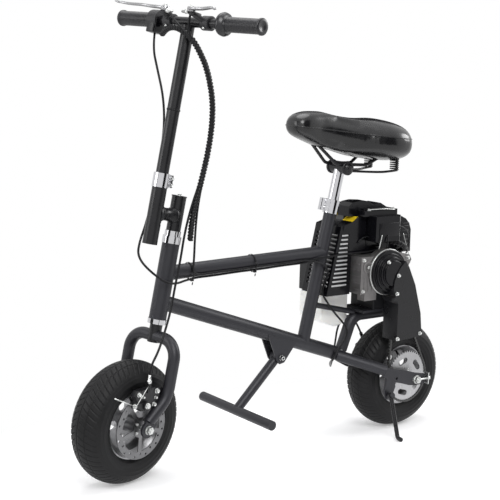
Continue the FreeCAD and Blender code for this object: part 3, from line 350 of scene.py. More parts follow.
metalFacts = {
    "clouds": (60, 4),
    "grain": (700, 3, 0.6, (1, 1, 0.1)),
    "gloss": (0.8, 1.3),   # shares of the roughness
    "depth": 0.0002,
}
rubberFacts = {
    "grain": (1100, 3),
    "clouds": (18, 4),
    "dust": (1.6, 0.001),
    "gloss": (-0.06, 0.1),   # added to the roughness
    "bump": (0.18, 0.0003),
}


def mottledFinish(name):
    facts = surfaceFacts[name]
    material = newMaterial(name, facts["plain"], facts["metallic"], facts["roughness"], facts["specular"])
    tree = material.node_tree
    shader = tree.nodes["Principled BSDF"]
    noise = {key: noiseNode(tree, *facts[key]) for key in ("clouds", "grain")}
    tree.links.new(mixColours(tree, noise["clouds"], *facts["colours"]), shader.inputs["Base Color"])
    gloss = rampNode(tree, noise[facts["glossFrom"]], 0.3, 0.7, *facts["gloss"])
    tree.links.new(gloss, shader.inputs["Roughness"])
    bumpFrom(material, noise["grain"], *facts["bump"])
    return material


def brightMetal(name, colour, roughness, smear, scratches=0.1):
    facts = metalFacts
    material = newMaterial(name, colour, 1.0, roughness, 0.5)
    tree = material.node_tree
    shader = tree.nodes["Principled BSDF"]
    cloud = noiseNode(tree, *facts["clouds"])
    fine = noiseNode(tree, *facts["grain"])
    darker = tuple(c * (1 - smear) for c in colour)
    tree.links.new(mixColours(tree, cloud, darker, colour), shader.inputs["Base Color"])
    least, most = facts["gloss"]
    tree.links.new(rampNode(tree, fine, 0.3, 0.7, roughness * least, roughness * most),
                   shader.inputs["Roughness"])
    bumpFrom(material, fine, scratches, facts["depth"])
    return material


def milkyTank():
    facts = tankFacts
    material = newMaterial("milkyTank", facts["plain"], 0.0, facts["roughness"], facts["specular"])
    tree = material.node_tree
    shader = tree.nodes["Principled BSDF"]
    shader.inputs["Subsurface Weight"].default_value = facts["depth"]
    shader.inputs["Subsurface Radius"].default_value = facts["reach"]
    shader.inputs["Subsurface Scale"].default_value = facts["reachScale"]
    # painted light: a faint glow that lightens the tank
    shader.inputs["Emission Color"].default_value = (*facts["lift"], 1)
    shader.inputs["Emission Strength"].default_value = facts["paintedGlowStrength"]
    clouds = noiseNode(tree, *facts["clouds"])
    tree.links.new(mixColours(tree, clouds, *facts["colours"]), shader.inputs["Base Color"])
    bumpFrom(material, noiseNode(tree, *facts["grain"]), *facts["bump"])
    return material


def rubber(name, colour, roughness, specular=0.22):
    facts = rubberFacts
    material = newMaterial(name, colour, 0.0, roughness, specular)
    tree = material.node_tree
    shader = tree.nodes["Principled BSDF"]
    grain = noiseNode(tree, *facts["grain"])
    cloud = noiseNode(tree, *facts["clouds"])
    share, more = facts["dust"]
    dusty = tuple(c * share + more for c in colour)
    tree.links.new(mixColours(tree, rampNode(tree, cloud, 0.35, 0.7, 0.0, 1.0), colour, dusty),
                   shader.inputs["Base Color"])
    least, most = (roughness + step for step in facts["gloss"])
    tree.links.new(rampNode(tree, cloud, 0.3, 0.7, least, most), shader.inputs["Roughness"])
    bumpFrom(material, grain, *facts["bump"])
    return material


def saddleVinyl():
    facts = vinylFacts
    material = newMaterial("saddleVinyl", facts["plain"], 0.0, facts["roughness"], facts["specular"])
    tree = material.node_tree
    shader = tree.nodes["Principled BSDF"]
    shader.inputs["Coat Weight"].default_value = facts["coat"]
    shader.inputs["Coat Roughness"].default_value = facts["coatRoughness"]
    place = tree.nodes.new("ShaderNodeTexCoord")
    cells = tree.nodes.new("ShaderNodeTexVoronoi")
    cells.feature = "DISTANCE_TO_EDGE"
    cells.inputs["Scale"].default_value = facts["cellScale"]
    tree.links.new(place.outputs["Object"], cells.inputs["Vector"])
    leather = rampNode(tree, cells.outputs["Distance"], 0.0, facts["cellEdge"], 0.0, 1.0)
    clouds = noiseNode(tree, *facts["clouds"])
    tree.links.new(mixColours(tree, clouds, *facts["colours"]), shader.inputs["Base Color"])
    tree.links.new(rampNode(tree, clouds, 0.3, 0.7, *facts["gloss"]), shader.inputs["Roughness"])
    bumpFrom(material, leather, *facts["bump"])
    return material


finishes = {
    "frame_paint": mottledFinish("framePaint"),
    "satin_black": mottledFinish("satinBlack"),
    "chrome": brightMetal("chromePlate", (0.62, 0.62, 0.64), 0.1, 0.14, 0.03),
    "zinc": brightMetal("zincPlate", (0.66, 0.67, 0.66), 0.3, 0.2, 0.1),
    "cast_alloy": mottledFinish("castAlloy"),
    "engine_black": mottledFinish("glossMoulding"),
    "housing_plastic": mottledFinish("darkMoulding"),
    "tank_plastic": milkyTank(),
    "dark_steel": brightMetal("oiledChain", (0.10, 0.10, 0.10), 0.42, 0.4, 0.1),
    "cable_rubber": rubber("cableSheath", (0.005, 0.005, 0.006), 0.36),
    "grip_rubber": rubber("gripRubber", (0.010, 0.010, 0.012), 0.3, 0.5),
    "tyre": rubber("tyreRubber", (0.0055, 0.0055, 0.006), 0.5),
    "rim_alloy": brightMetal("rimAlloy", (0.36, 0.36, 0.37), 0.34, 0.25, 0.15),
    "disc_steel": brightMetal("discSteel", (0.44, 0.44, 0.45), 0.3, 0.15, 0.25),
    "saddle_vinyl": saddleVinyl(),
    "patch_yellow": newMaterial("patchYellow", (0.93, 0.66, 0.02), 0.0, 0.4, 0.4),
    "rotor_steel": brightMetal("rotorSteel", (0.21, 0.21, 0.215), 0.34, 0.3, 0.2),
    "lever_alloy": brightMetal("leverAlloy", (0.44, 0.44, 0.45), 0.26, 0.3, 0.05),
    # alloy of the cooling fins, near white and far lighter than the cast alloy: partly the fins' own colour,
    # partly a painted highlight in the shroud's slots
    "fin_alloy": newMaterial("finAlloy", (0.84, 0.84, 0.85), 0.25, 0.45, 0.5),
}


# Finishes that differ from the record's slot, by node
finishOf = {"front_rotor": "rotor_steel"}
subparts = {part["node"]: part for part in frame["record"]["subparts"]}


def finishFor(nodeName):
    return finishes[finishOf.get(nodeName, subparts[nodeName]["material_slot"])]


for nodeName in subparts:
    nodes[nodeName].data.materials.clear()
    nodes[nodeName].data.materials.append(finishFor(nodeName))
print("finishes on the frame's nodes")


# Frames that the pieces are placed in, millimetres in and metres out
bikeFacts = {
    "seatAngle": 77.2,
    "headAngle": 79.2,
    "axleHeight": 141.0,
    "frontAxle": 824.0,
    "steerJoint": 236.0,   # height of the steering joint along its axis
    "axisFoot": (780.58, 132.72),   # foot of the steering axis
    "mastAhead": 66.5,
    "crank": (98.0, 428.0),
    "seatBase": (306.8, 271.8),   # foot of the seat tube's axis
    "seatTube": 25.4,
    "topStart": (716.87, 466.70),   # axis of the top tube, from the head tube
    "topEnd": (259.61, 479.5),   # to the seat tube
}

seatAxis = jointLine("seat_height")[1]
seatCos = math.cos(math.radians(bikeFacts["seatAngle"]))
seatSin = math.sin(math.radians(bikeFacts["seatAngle"]))
headCos = math.cos(math.radians(bikeFacts["headAngle"]))
headSin = math.sin(math.radians(bikeFacts["headAngle"]))
leftward = rearAxis
crossway = leftward.cross(seatAxis)
forward = crossway * seatSin - seatAxis * seatCos
upward = seatAxis * seatSin + crossway * seatCos
bikeZero = rearCentre - upward * (bikeFacts["axleHeight"] / 1000)
steerLeft = frontAxis
steerAhead = steerLeft.cross(steerAxis).normalized()


def frameAt(x, y, z):
    return bikeZero + (forward * x + leftward * y + upward * z) / 1000


def steerAt(height, ahead=0.0, left=0.0):
    rise = (height - bikeFacts["steerJoint"]) / 1000
    return steerPoint + steerAxis * rise + (steerAhead * ahead + steerLeft * left) / 1000


def mastAt(height, ahead=0.0, left=0.0):
    return steerAt(height, bikeFacts["mastAhead"] + ahead, left)


def crankAt(x, y, z):
    return frameAt(bikeFacts["crank"][0] + x, y, bikeFacts["crank"][1] + z)


def fixedSteerAt(height, ahead=0.0, left=0.0):
    # beside the steering axis, on the frame
    x0, z0 = bikeFacts["axisFoot"]
    return frameAt(x0 - height * headCos + ahead * headSin, left, z0 + height * headSin + ahead * headCos)


def steeredAt(x, y, z):
    # a point of the fork, given as on the straight machine
    x0, z0 = bikeFacts["axisFoot"]
    dx, dz = x - x0, z - z0
    return steerAt(dz * headSin - dx * headCos, dx * headSin + dz * headCos, y)


def seatLineAt(z, ahead=0.0, left=0.0):
    x0, z0 = bikeFacts["seatBase"]
    return frameAt(x0 - (z - z0) * seatCos / seatSin + ahead * seatSin, left, z + ahead * seatCos)


def belowTop(x, left, down):
    (x0, z0), (x1, z1) = bikeFacts["topStart"], bikeFacts["topEnd"]
    return frameAt(x, left, z0 + (z1 - z0) * (x0 - x) / (x0 - x1) - down)


def caliperAt(x, y, z):
    # beside the front axle, on the fork
    return steeredAt(bikeFacts["frontAxle"] + x, y, bikeFacts["axleHeight"] + z)


# Mesh tools
def newPiece(name, points, faces, finish, body, smooth=True):
    mesh = bpy.data.meshes.new(name)
    mesh.from_pydata([tuple(p) for p in points], [], faces)
    mesh.validate()
    piece = bpy.data.objects.new(name, mesh)
    bpy.context.scene.collection.objects.link(piece)
    if smooth:
        mesh.shade_smooth()
    piece.data.materials.append(finishes[finish])
    if body:
        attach(piece, body)
    return piece


def sideOf(direction):
    across = direction.cross(Vector((0, 0, 1)))
    if across.length < 0.1:
        across = direction.cross(Vector((1, 0, 0)))
    return across.normalized()


def skinned(rings, sides, loop=False):
    # faces over rings of points, with flat ends unless the rings close into a loop
    faces = []
    for ring in range(rings if loop else rings - 1):
        for k in range(sides):
            a = ring * sides + k
            b = ring * sides + (k + 1) % sides
            c = ((ring + 1) % rings) * sides
            faces.append((a, b, c + (k + 1) % sides, c + k))
    if not loop:
        faces.append(tuple(range(sides))[::-1])
        faces.append(tuple(range((rings - 1) * sides, rings * sides)))
    return faces


def lathe(base, axis, profile, segments=24, loop=False):
    # profile of radius and distance in mm, turned about an axis through base
    across = sideOf(axis)
    other = axis.cross(across)
    points = []
    for radius, along in profile:
        for k in range(segments):
            angle = 2 * math.pi * k / segments
            spoke = across * math.cos(angle) + other * math.sin(angle)
            points.append(base + axis * (along / 1000) + spoke * (radius / 1000))
    return points, skinned(len(profile), segments, loop)


def merged(parts):
    points, faces = [], []
    for somePoints, someFaces in parts:
        shift = len(points)
        points += somePoints
        faces += [tuple(p + shift for p in face) for face in someFaces]
    return points, faces


def joinedPiece(name, parts, finish, body, smooth=True):
    return newPiece(name, *merged(parts), finish, body, smooth)


def tubeAlong(line, radius, sides=10, closed=False, ripple=None):
    # a round tube whose cross-section is carried along the line without twist
    count = len(line)
    points = []
    normal = None
    for k, here in enumerate(line):
        before = line[k - 1] if (k or closed) else line[0]
        after = line[(k + 1) % count] if (k < count - 1 or closed) else line[-1]
        ahead = (after - before).normalized()
        if normal is None:
            normal = sideOf(ahead)
        normal = (normal - ahead * normal.dot(ahead)).normalized()
        other = ahead.cross(normal)
        size = radius * (ripple(k) if ripple else 1.0)
        for n in range(sides):
            angle = 2 * math.pi * n / sides
            points.append(here + (normal * math.cos(angle) + other * math.sin(angle)) * (size / 1000))
    return points, skinned(count, sides, closed)


def prism(corners, thickness):
    # a plate from its corner points, raised along its own normal
    normal = (corners[1] - corners[0]).cross(corners[2] - corners[1]).normalized()
    count = len(corners)
    top = [p + normal * (thickness / 1000) for p in corners]
    faces = [tuple(range(count))[::-1], tuple(range(count, 2 * count))]
    for k in range(count):
        nextOne = (k + 1) % count
        faces.append((k, nextOne, count + nextOne, count + k))
    return list(corners) + top, faces


def boxAt(centre, along, across, size):
    # a box by its middle, two directions and its three sizes in mm
    along = along.normalized()
    across = (across - along * across.dot(along)).normalized()
    third = along.cross(across)
    a, b, c = (s / 2000 for s in size)
    points = [centre + along * (sa * a) + across * (sb * b) + third * (sc * c)
              for sa in (-1, 1) for sb in (-1, 1) for sc in (-1, 1)]
    faces = [(0, 1, 3, 2), (4, 6, 7, 5), (0, 4, 5, 1), (2, 3, 7, 6), (0, 2, 6, 4), (1, 5, 7, 3)]
    return points, faces


def coilLine(placeAt, centre, radius, rise, count, perTurn, climb):
    # places on a helix that climbs along the axis of that number
    line = []
    for k in range(count):
        angle = 2 * math.pi * k / perTurn
        shift = [radius * math.cos(angle), radius * math.sin(angle)]
        shift.insert(climb, k * rise)
        line.append(placeAt(*(c + step for c, step in zip(centre, shift))))
    return line


def soften(piece, width, segments=3, angle=32):
    edge = piece.modifiers.new("softEdge", "BEVEL")
    edge.width = width / 1000
    edge.segments = segments
    edge.limit_method = "ANGLE"
    edge.angle_limit = math.radians(angle)
    edge.harden_normals = False
    return piece


def splineLine(route, resolution=10):
    # the points of a smooth curve that has the route as its control points
    curve = bpy.data.curves.new("route", "CURVE")
    curve.dimensions = "3D"
    spline = curve.splines.new("NURBS")
    spline.points.add(len(route) - 1)
    for point, place in zip(spline.points, route):
        point.co = (*place, 1)
    spline.order_u = 3
    spline.use_endpoint_u = True
    spline.resolution_u = resolution
    holder = bpy.data.objects.new("route", curve)
    mesh = bpy.data.meshes.new_from_object(holder)
    line = [v.co.copy() for v in mesh.vertices]
    bpy.data.objects.remove(holder)
    bpy.data.meshes.remove(mesh)
    return line


def wiresAlong(routes, radius, sides=8):
    return [tubeAlong(splineLine([frameAt(*p) for p in route], 8), radius, sides) for route in routes]


def boltParts(at, axis, size, height, washer=True, socket=True):
    # socket or hexagon head with its washer, standing on a face
    parts = []
    if washer:
        rim = [(size * 0.98, 0.0), (size, 0.3), (size, 1.2), (size * 0.95, 1.6)]
        parts.append(lathe(at - axis * 0.0004, axis, rim, 28))
    base = at + axis * (0.0012 if washer else 0.0)
    if socket:
        head = size * 0.74
        profile = [(head, -0.3), (head, height * 0.85), (head * 0.9, height), (head * 0.55, height),
                   (head * 0.5, height * 0.55), (0.2, height * 0.5)]
        parts.append(lathe(base, axis, profile))
    else:
        profile = [(size * 0.86, -0.3), (size * 0.86, height * 0.82), (size * 0.74, height),
                   (size * 0.3, height)]
        parts.append(lathe(base, axis, profile, 6))
    return merged(parts)


# Rounded edges for moulded, cast and forged pieces
edgeFacts = {
    # node: width of the rounding in mm, segments
    "engine_block": (2.2, 3),
    "chain_case": (1.3, 3),
    "clutch_bell": (1.6, 3),
    "engine_shroud": (1.1, 2),
    "air_cleaner": (3.2, 4),
    "recoil_starter": (3.0, 4),
    "muffler": (4.0, 4),
    "fuel_tank": (7.0, 5),
    "engine_mount": (1.5, 2),
    "front_caliper": (1.2, 2),
    "rear_caliper": (1.2, 2),
    "control_housings": (1.6, 3),
    "bar_collar": (0.8, 2),
    "seat_clamp": (0.8, 2),
    "footrest_bracket": (1.0, 2),
    "front_axle": (0.6, 2),
    "rear_axle": (0.6, 2),
}
roundFacts = {"weld": 2e-6, "flatAngle": 0.6, "normalWeight": 60}


def roundEdges(nodeName, width, segments):
    source = nodes[nodeName]
    body = [b for b, members in frame["record"]["behaviour"]["bodies"].items() if nodeName in members][0]
    piece = bpy.data.objects.new(nodeName + "Rounded", source.data.copy())
    bpy.context.scene.collection.objects.link(piece)
    piece.matrix_world = source.matrix_world.copy()
    work = bmesh.new()   # the flat faces are put together again, so that the rounding is even
    work.from_mesh(piece.data)
    bmesh.ops.remove_doubles(work, verts=work.verts, dist=roundFacts["weld"])
    flat = math.radians(roundFacts["flatAngle"])
    bmesh.ops.dissolve_limit(work, angle_limit=flat, verts=work.verts, edges=work.edges)
    work.to_mesh(piece.data)
    work.free()
    piece.data.shade_smooth()
    soften(piece, width, segments)
    shade = piece.modifiers.new("flatSides", "WEIGHTED_NORMAL")
    shade.keep_sharp = False
    shade.weight = roundFacts["normalWeight"]
    piece.data.materials.clear()
    piece.data.materials.append(finishFor(nodeName))
    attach(piece, body)
    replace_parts(piece, nodeName)
    return piece


for nodeName, (width, segments) in edgeFacts.items():
    roundEdges(nodeName, width, segments)
print("edges rounded, tools ready")


# Tyres: crown groove, slanted sipes fanning to the shoulders, rings on the sidewall
tyreFacts = {
    "radius": 141.0,
    "width": 90.0,
    "crown": 52.0,
    "bead": 66.0,
    "seat": 78.0,
    "pitches": 58,
    "pitchSteps": 12,
    "shoulderIn": 9.0,
    "wallSteps": 30,
    "ridges": {9: 0.7, 10: 0.7, 15: 0.6, 16: 0.6, 21: 0.5, 26: 0.8, 27: 0.8},
    "crownRows": (
        # distance from the middle, share of the round groove's depth, crossed by a sipe or not
        (0.0, 1, 0), (1.0, 1, 0), (1.5, 0, 0), (3.4, 0, 0), (4.2, 0, 1), (7.0, 0, 1), (10.5, 0, 1),
        (14.0, 0, 1), (17.0, 0, 1), (17.8, 0, 0), (18.6, 0.9, 0), (19.8, 0.9, 0), (20.6, 0, 0),
        (21.6, 0, 1), (25.0, 0, 1), (29.0, 0, 1), (33.0, 0, 1), (36.0, 0, 1),
    ),
    "grooveDepth": 2.6,
    "sipeDepth": 2.3,
    "slant": 0.62,
}


def tyreProfile():
    # y, radius, depth of the round groove there, and whether a sipe crosses the row
    facts = tyreFacts
    half = facts["width"] / 2
    shoulder = half - facts["shoulderIn"]
    rows = []

    def crown(y):
        return facts["radius"] - facts["crown"] + math.sqrt(facts["crown"] ** 2 - y * y)

    for y, deep, sipe in facts["crownRows"]:
        rows.append((y, crown(y), deep, sipe))
    # the sidewall is an arc through the shoulder, the widest place and the bead
    a = Vector((shoulder, crown(shoulder)))
    b = Vector((half, facts["seat"] + 0.5 * (facts["radius"] - facts["seat"])))
    c = Vector((facts["bead"] / 2 + 5, facts["seat"] + 2))
    turn = 2 * (a.x * (b.y - c.y) + b.x * (c.y - a.y) + c.x * (a.y - b.y))
    centre = Vector(((a.dot(a) * (b.y - c.y) + b.dot(b) * (c.y - a.y) + c.dot(c) * (a.y - b.y)) / turn,
                     (a.dot(a) * (c.x - b.x) + b.dot(b) * (a.x - c.x) + c.dot(c) * (b.x - a.x)) / turn))
    first = math.atan2(a.y - centre.y, a.x - centre.x)
    last = math.atan2(c.y - centre.y, c.x - centre.x)
    size = (a - centre).length
    for n in range(1, facts["wallSteps"] + 1):
        angle = first + (last - first) * n / facts["wallSteps"]
        stand = size + facts["ridges"].get(n, 0.0)
        rows.append((centre.x + stand * math.cos(angle), centre.y + stand * math.sin(angle), 0,
                     1 if n < 4 else 0))
    rows.append((facts["bead"] / 2, facts["seat"], 0, 0))
    rows.append((facts["bead"] / 2 - 6, facts["seat"] + 0.4, 0, 0))
    mirrored = [(-y, r, deep, sipe) for y, r, deep, sipe in rows[:0:-1]]
    return mirrored + rows


def addTyre(name, centre, axis, body, nodeName):
    facts = tyreFacts
    rows = tyreProfile()
    steps = facts["pitchSteps"]
    columns = facts["pitches"] * steps
    across = sideOf(axis)
    other = axis.cross(across)
    points = []
    for y, radius, deep, sipe in rows:
        slip = facts["slant"] * abs(y) / facts["radius"]
        for k in range(columns):
            angle = 2 * math.pi * k / columns + slip
            inner = k % steps
            cut = facts["grooveDepth"] * deep
            offset = steps // 2 if y < 0 else 0
            if sipe and (inner + offset) % steps in (0, 1):
                cut = max(cut, facts["sipeDepth"])
            spoke = across * math.cos(angle) + other * math.sin(angle)
            points.append(centre + axis * (y / 1000) + spoke * ((radius - cut) / 1000))
    piece = newPiece(name, points, skinned(len(rows), columns, loop=True), "tyre", body)
    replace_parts(piece, nodeName)
    return piece


addTyre("rearTyreTread", rearCentre, rearAxis, "rear_wheel", "rear_tyre")
addTyre("frontTyreTread", frontCentre, frontAxis, "front_wheel", "front_tyre")
print("tyres built")


# Valve stems and the bolts of the discs and the sprocket
wheelFacts = {
    "stemRadius": 68.0,
    "stemLean": (0.75, 0.66),
    "stemProfile": ((3.6, -6.0), (3.6, 8.0), (2.6, 10.0), (2.6, 19.0), (3.0, 20.0), (3.0, 26.0), (2.2, 27.0)),
    "discBolts": 5,
    "discBoltRing": 17.5,
    "discBoltSize": (4.6, 3.0),
    "discFace": 52.0,
    "farFace": 50.0,
}


def addWheelTrim(prefix, centre, axis, body, sides):
    facts = wheelFacts
    across = sideOf(axis)
    other = axis.cross(across)
    start = centre - other * (facts["stemRadius"] / 1000)
    lean = (axis * facts["stemLean"][0] + other * facts["stemLean"][1]).normalized()
    newPiece(prefix + "Valve", *lathe(start, lean, facts["stemProfile"], 16), "cable_rubber", body)
    bolts = []
    for side in sides:
        for k in range(facts["discBolts"]):
            angle = 2 * math.pi * (k + 0.5) / facts["discBolts"]
            spoke = across * math.cos(angle) + other * math.sin(angle)
            face = centre + axis * (side * (facts["discFace"] if side > 0 else facts["farFace"]) / 1000)
            bolts.append(boltParts(face + spoke * (facts["discBoltRing"] / 1000), axis * side,
                                   *facts["discBoltSize"], washer=False))
    joinedPiece(prefix + "HubBolts", bolts, "zinc", body)


addWheelTrim("front", frontCentre, frontAxis, "front_wheel", (1,))
addWheelTrim("rear", rearCentre, rearAxis, "rear_wheel", (-1, 1))
print("wheel trim built")


# Saddle: swollen pad with a sewn seam round it
saddleFacts = {
    "sections": (
        # along the saddle: x, half width, underside, top
        (30, 26, 733, 757), (38, 66, 716, 783), (58, 92, 707, 796), (100, 102, 708, 802),
        (146, 95, 717, 801), (194, 76, 729, 803), (242, 57, 741, 809), (290, 46, 752, 819),
        (332, 41, 762, 826), (360, 34, 770, 821), (374, 19, 782, 809),
    ),
    "rings": 56,
    "sides": 64,
    "widest": 0.45,   # share of the height at which a section is widest
    "voxel": 0.005,
    "smoothing": (0.5, 14),   # strength and number of times
    "pressure": 4.0,
    "clothMass": 0.3,
    "tension": 18,
    "bending": 6,
    "frames": 20,
    "cap": 0.009,   # how far the cloth may move a point
    "seamLevel": 0.40,
    "seamStand": 0.3,
    "seamEnds": ((40, 0, 760), (340, 0, 800)),
    "seamPoints": 220,
    "seamRadius": 1.5,
}


def saddleShell():
    # smooth sections that pass through the given ones
    facts = saddleFacts
    keys, rings, sides = facts["sections"], facts["rings"], facts["sides"]
    points = []
    for n in range(rings + 1):
        place = (len(keys) - 1) * n / rings
        k = min(int(place), len(keys) - 2)
        t = place - k
        p0, p1, p2, p3 = (keys[min(max(k + d, 0), len(keys) - 1)] for d in (-1, 0, 1, 2))
        x, half, low, high = (0.5 * (2 * b + (c - a) * t + (2 * a - 5 * b + 4 * c - d) * t ** 2
                                     + (3 * b - a - 3 * c + d) * t ** 3)
                              for a, b, c, d in zip(p0, p1, p2, p3))
        middle = low + (high - low) * facts["widest"]
        for m in range(sides):
            angle = 2 * math.pi * m / sides
            y, z = math.cos(angle), math.sin(angle)
            y = math.copysign(abs(y) ** 0.8, y) * half
            z = math.copysign(abs(z) ** 0.85, z)
            z = middle + z * ((high - middle) if z > 0 else (middle - low))
            points.append(frameAt(x, y, z))
    return points, skinned(rings + 1, sides)


def settle(piece):
    # keeps the mesh that the modifiers give, and drops them
    graph = bpy.context.evaluated_depsgraph_get()
    mesh = bpy.data.meshes.new_from_object(piece.evaluated_get(graph))
    piece.modifiers.clear()
    piece.data = mesh


def addSaddle():
    facts = saddleFacts
    piece = newPiece("saddlePad", *saddleShell(), "saddle_vinyl", None)
    remesh = piece.modifiers.new("remesh", "REMESH")
    remesh.mode = "VOXEL"
    remesh.voxel_size = facts["voxel"]
    smooth = piece.modifiers.new("smooth", "SMOOTH")
    smooth.factor, smooth.iterations = facts["smoothing"]
    settle(piece)
    before = [v.co.copy() for v in piece.data.vertices]
    cloth = piece.modifiers.new("swell", "CLOTH")
    cloth.settings.quality = 5
    cloth.settings.mass = facts["clothMass"]
    cloth.settings.use_pressure = True
    cloth.settings.uniform_pressure_force = facts["pressure"]
    cloth.settings.tension_stiffness = facts["tension"]
    cloth.settings.bending_stiffness = facts["bending"]
    cloth.settings.effector_weights.gravity = 0
    cloth.point_cache.frame_start = 1
    cloth.point_cache.frame_end = facts["frames"]
    for number in range(1, facts["frames"] + 1):
        bpy.context.scene.frame_set(number)
    settle(piece)
    bpy.context.scene.frame_set(1)
    for vertex, place in zip(piece.data.vertices, before):
        move = vertex.co - place
        if move.length > facts["cap"]:
            vertex.co = place + move.normalized() * facts["cap"]
    finer = piece.modifiers.new("finer", "SUBSURF")
    finer.levels = 1
    finer.render_levels = 1
    settle(piece)
    piece.data.shade_smooth()
    piece.data.materials.clear()
    piece.data.materials.append(finishes["saddle_vinyl"])
    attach(piece, "seat")
    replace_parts(piece, "saddle")
    return piece


saddlePad = addSaddle()


def seamOnPad():
    # a closed line round the pad, found by rays from outside
    facts = saddleFacts
    bpy.context.view_layer.update()
    rear, front = (frameAt(*place) for place in facts["seamEnds"])
    line = []
    for k in range(facts["seamPoints"]):
        angle = 2 * math.pi * k / facts["seamPoints"]
        core = rear.lerp(front, 0.5 + 0.5 * math.cos(angle))
        direction = (forward * math.cos(angle) * 0.5 + leftward * math.sin(angle)).normalized()
        start = core + upward * ((facts["seamLevel"] - 0.5) * 0.05) + direction * 0.25
        hit, place, normal, face = saddlePad.ray_cast(start, -direction)
        if hit:
            line.append(place + normal * (facts["seamStand"] / 1000))
    return line


seamLine = seamOnPad()
seamTube = tubeAlong(seamLine, saddleFacts["seamRadius"], 8, closed=True)
newPiece("saddleSeam", *seamTube, "saddle_vinyl", "seat")
print("saddle built:", len(saddlePad.data.vertices), "points,", len(seamLine), "on the seam")


# Grips: ribbed rubber sleeves, with a round stop on the left one
gripFacts = {
    "height": 895.0,
    "inner": 113.0,
    "outer": 214.0,
    "bore": 11.3,
    "radius": 15.6,
    "rib": 0.9,
    "ribPitch": 4.6,
    "flange": 18.4,
    "stop": ((11.3, -16), (21.0, -16), (24.8, -13), (26.0, -8), (24.6, -3), (20.0, -0.5)),
    "collar": (1.2, 4),   # how far it stands out and its width
}


def addGrip(name, side):
    facts = gripFacts
    inner, end, radius = facts["inner"], facts["outer"], facts["radius"]
    if side > 0:
        profile = [(stand, inner + along) for stand, along in facts["stop"]]
    else:
        stand, width = facts["collar"]
        profile = [(facts["bore"], inner), (radius + stand, inner), (radius + stand, inner + width)]
    along = inner + 6
    while along < end - 12:
        profile += [(radius, along), (radius + facts["rib"], along + 0.7),
                    (radius + facts["rib"], along + 2.5), (radius, along + 3.2)]
        along += facts["ribPitch"]
    profile += [(radius, end - 7), (facts["flange"], end - 5), (facts["flange"], end - 1.5),
                (facts["flange"] - 1.5, end), (9.0, end), (7.5, end - 1.2), (0.3, end - 1.2)]
    grip = lathe(mastAt(facts["height"]), steerLeft * side, profile, 40)
    return newPiece(name, *grip, "grip_rubber", "bars")


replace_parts(addGrip("leftGrip", 1), "grips")
addGrip("rightGrip", -1)
print("grips built")


# Cables: the routes of the three wires, split where they pass from one body to the next
cableFacts = {
    "radius": 2.6,
    "rearStopTurn": 28.0,
    "rearStopY": -73.7,
    "stopHeight": 108.4,
    "tied": ((656, 0.0), (592, 1.2), (526, 0.0), (458, 1.2), (392, 0.0), (326, 1.0)),
    "barBend": ((640, -20, 20), (850, -20, 20)),   # two places on the mast
    "headBend": ((430, 20, 20), (330, -60, 20)),   # on the stem and on the frame, the same in steering
    "splitAt": {"throttleCable": (590, -7, -21.5), "frontBrakeCable": (590, -74, 55),
                "rearBrakeCable": (590, -74, 55)},
}


def nearestIndex(line, place):
    return min(range(len(line)), key=lambda k: (line[k] - place).length)


def blendAcross(piece, first, second, start, end):
    # drops the parent and keeps the piece where it stands, on no body
    piece.parent = None
    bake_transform(piece)


def cableLines():
    tied = cableFacts["tied"]   # place along the top tube, and how far the wire sags there
    throttle = [mastAt(*p) for p in ((871.2, 3, -98), (832, 12, -86), (785, 22, -50), (725, 10, -27),
                                     (660, -4, -22), (590, -7, -21.5), (520, -7, -22), (450, -2, -22.5),
                                     (398, 12, -21), (370, 23, -6), (345, 8, 20))]
    throttle += [fixedSteerAt(316, 4, 34)] + [belowTop(x, 13.6, 15.6 + sag) for x, sag in tied]
    throttle += [frameAt(*p) for p in ((296, 19, 468), (262, 25, 473), (226, 30, 476), (186, 31, 477),
                                       (150, 33, 477), (118, 37, 480), (92, 38, 487), (88, 19.5, 488))]
    front = [mastAt(*p) for p in ((908, 35.3, 35.2), (890, 34, 32), (868, 28, 32), (840, 0, 36),
                                  (800, -36, 44), (745, -60, 50), (684, -74, 52), (622, -76, 52),
                                  (560, -72, 50), (500, -62, 46), (440, -58, 44), (380, -60, 44),
                                  (320, -58, 44), (262, -54, 48), (214, -36, 58), (172, -14, 70))]
    front += [caliperAt(0.0, 72.0, cableFacts["stopHeight"] + rise) for rise in (34, 0)]
    rear = [mastAt(*p) for p in ((905, 44, -20), (892, 40, -8), (878, 36, 12), (850, 14, 40),
                                 (806, -26, 52), (746, -56, 59), (684, -68, 61), (622, -70, 61),
                                 (560, -70, 58), (498, -76, 52), (440, -92, 44))]
    rear += [fixedSteerAt(380, -44, 38)] + [belowTop(x, 18.8, 9.4 - sag) for x, sag in tied]
    rear += [frameAt(296, 22, 463), frameAt(272, 24, 455), seatLineAt(436, -20.7, 19)]
    rear += [seatLineAt(z, -20.7, 9) for z in (410, 382)]
    rear += [frameAt(*p) for p in ((244, 12.5, 352), (222, 13.5, 326), (200, 17, 303), (184, 20, 284),
                                   (183, 20.5, 262), (202, 22, 242), (222, 23, 224), (222, 14, 202),
                                   (212, -4, 196), (194, -28, 182), (164, -60, 164), (138, -90, 154),
                                   (116, -108, 166), (110, -107, 212), (116, -94, 256), (106, -80, 292))]
    turn = math.radians(cableFacts["rearStopTurn"])
    reach = cableFacts["stopHeight"]
    for extra in (46, 0):
        size = reach + extra
        rear.append(frameAt(math.sin(turn) * size, cableFacts["rearStopY"],
                            bikeFacts["axleHeight"] + math.cos(turn) * size))
    return {"throttleCable": throttle, "frontBrakeCable": front, "rearBrakeCable": rear}


barBend = [mastAt(*p) for p in cableFacts["barBend"]]
headBend = [steerAt(*cableFacts["headBend"][0]), fixedSteerAt(*cableFacts["headBend"][1])]


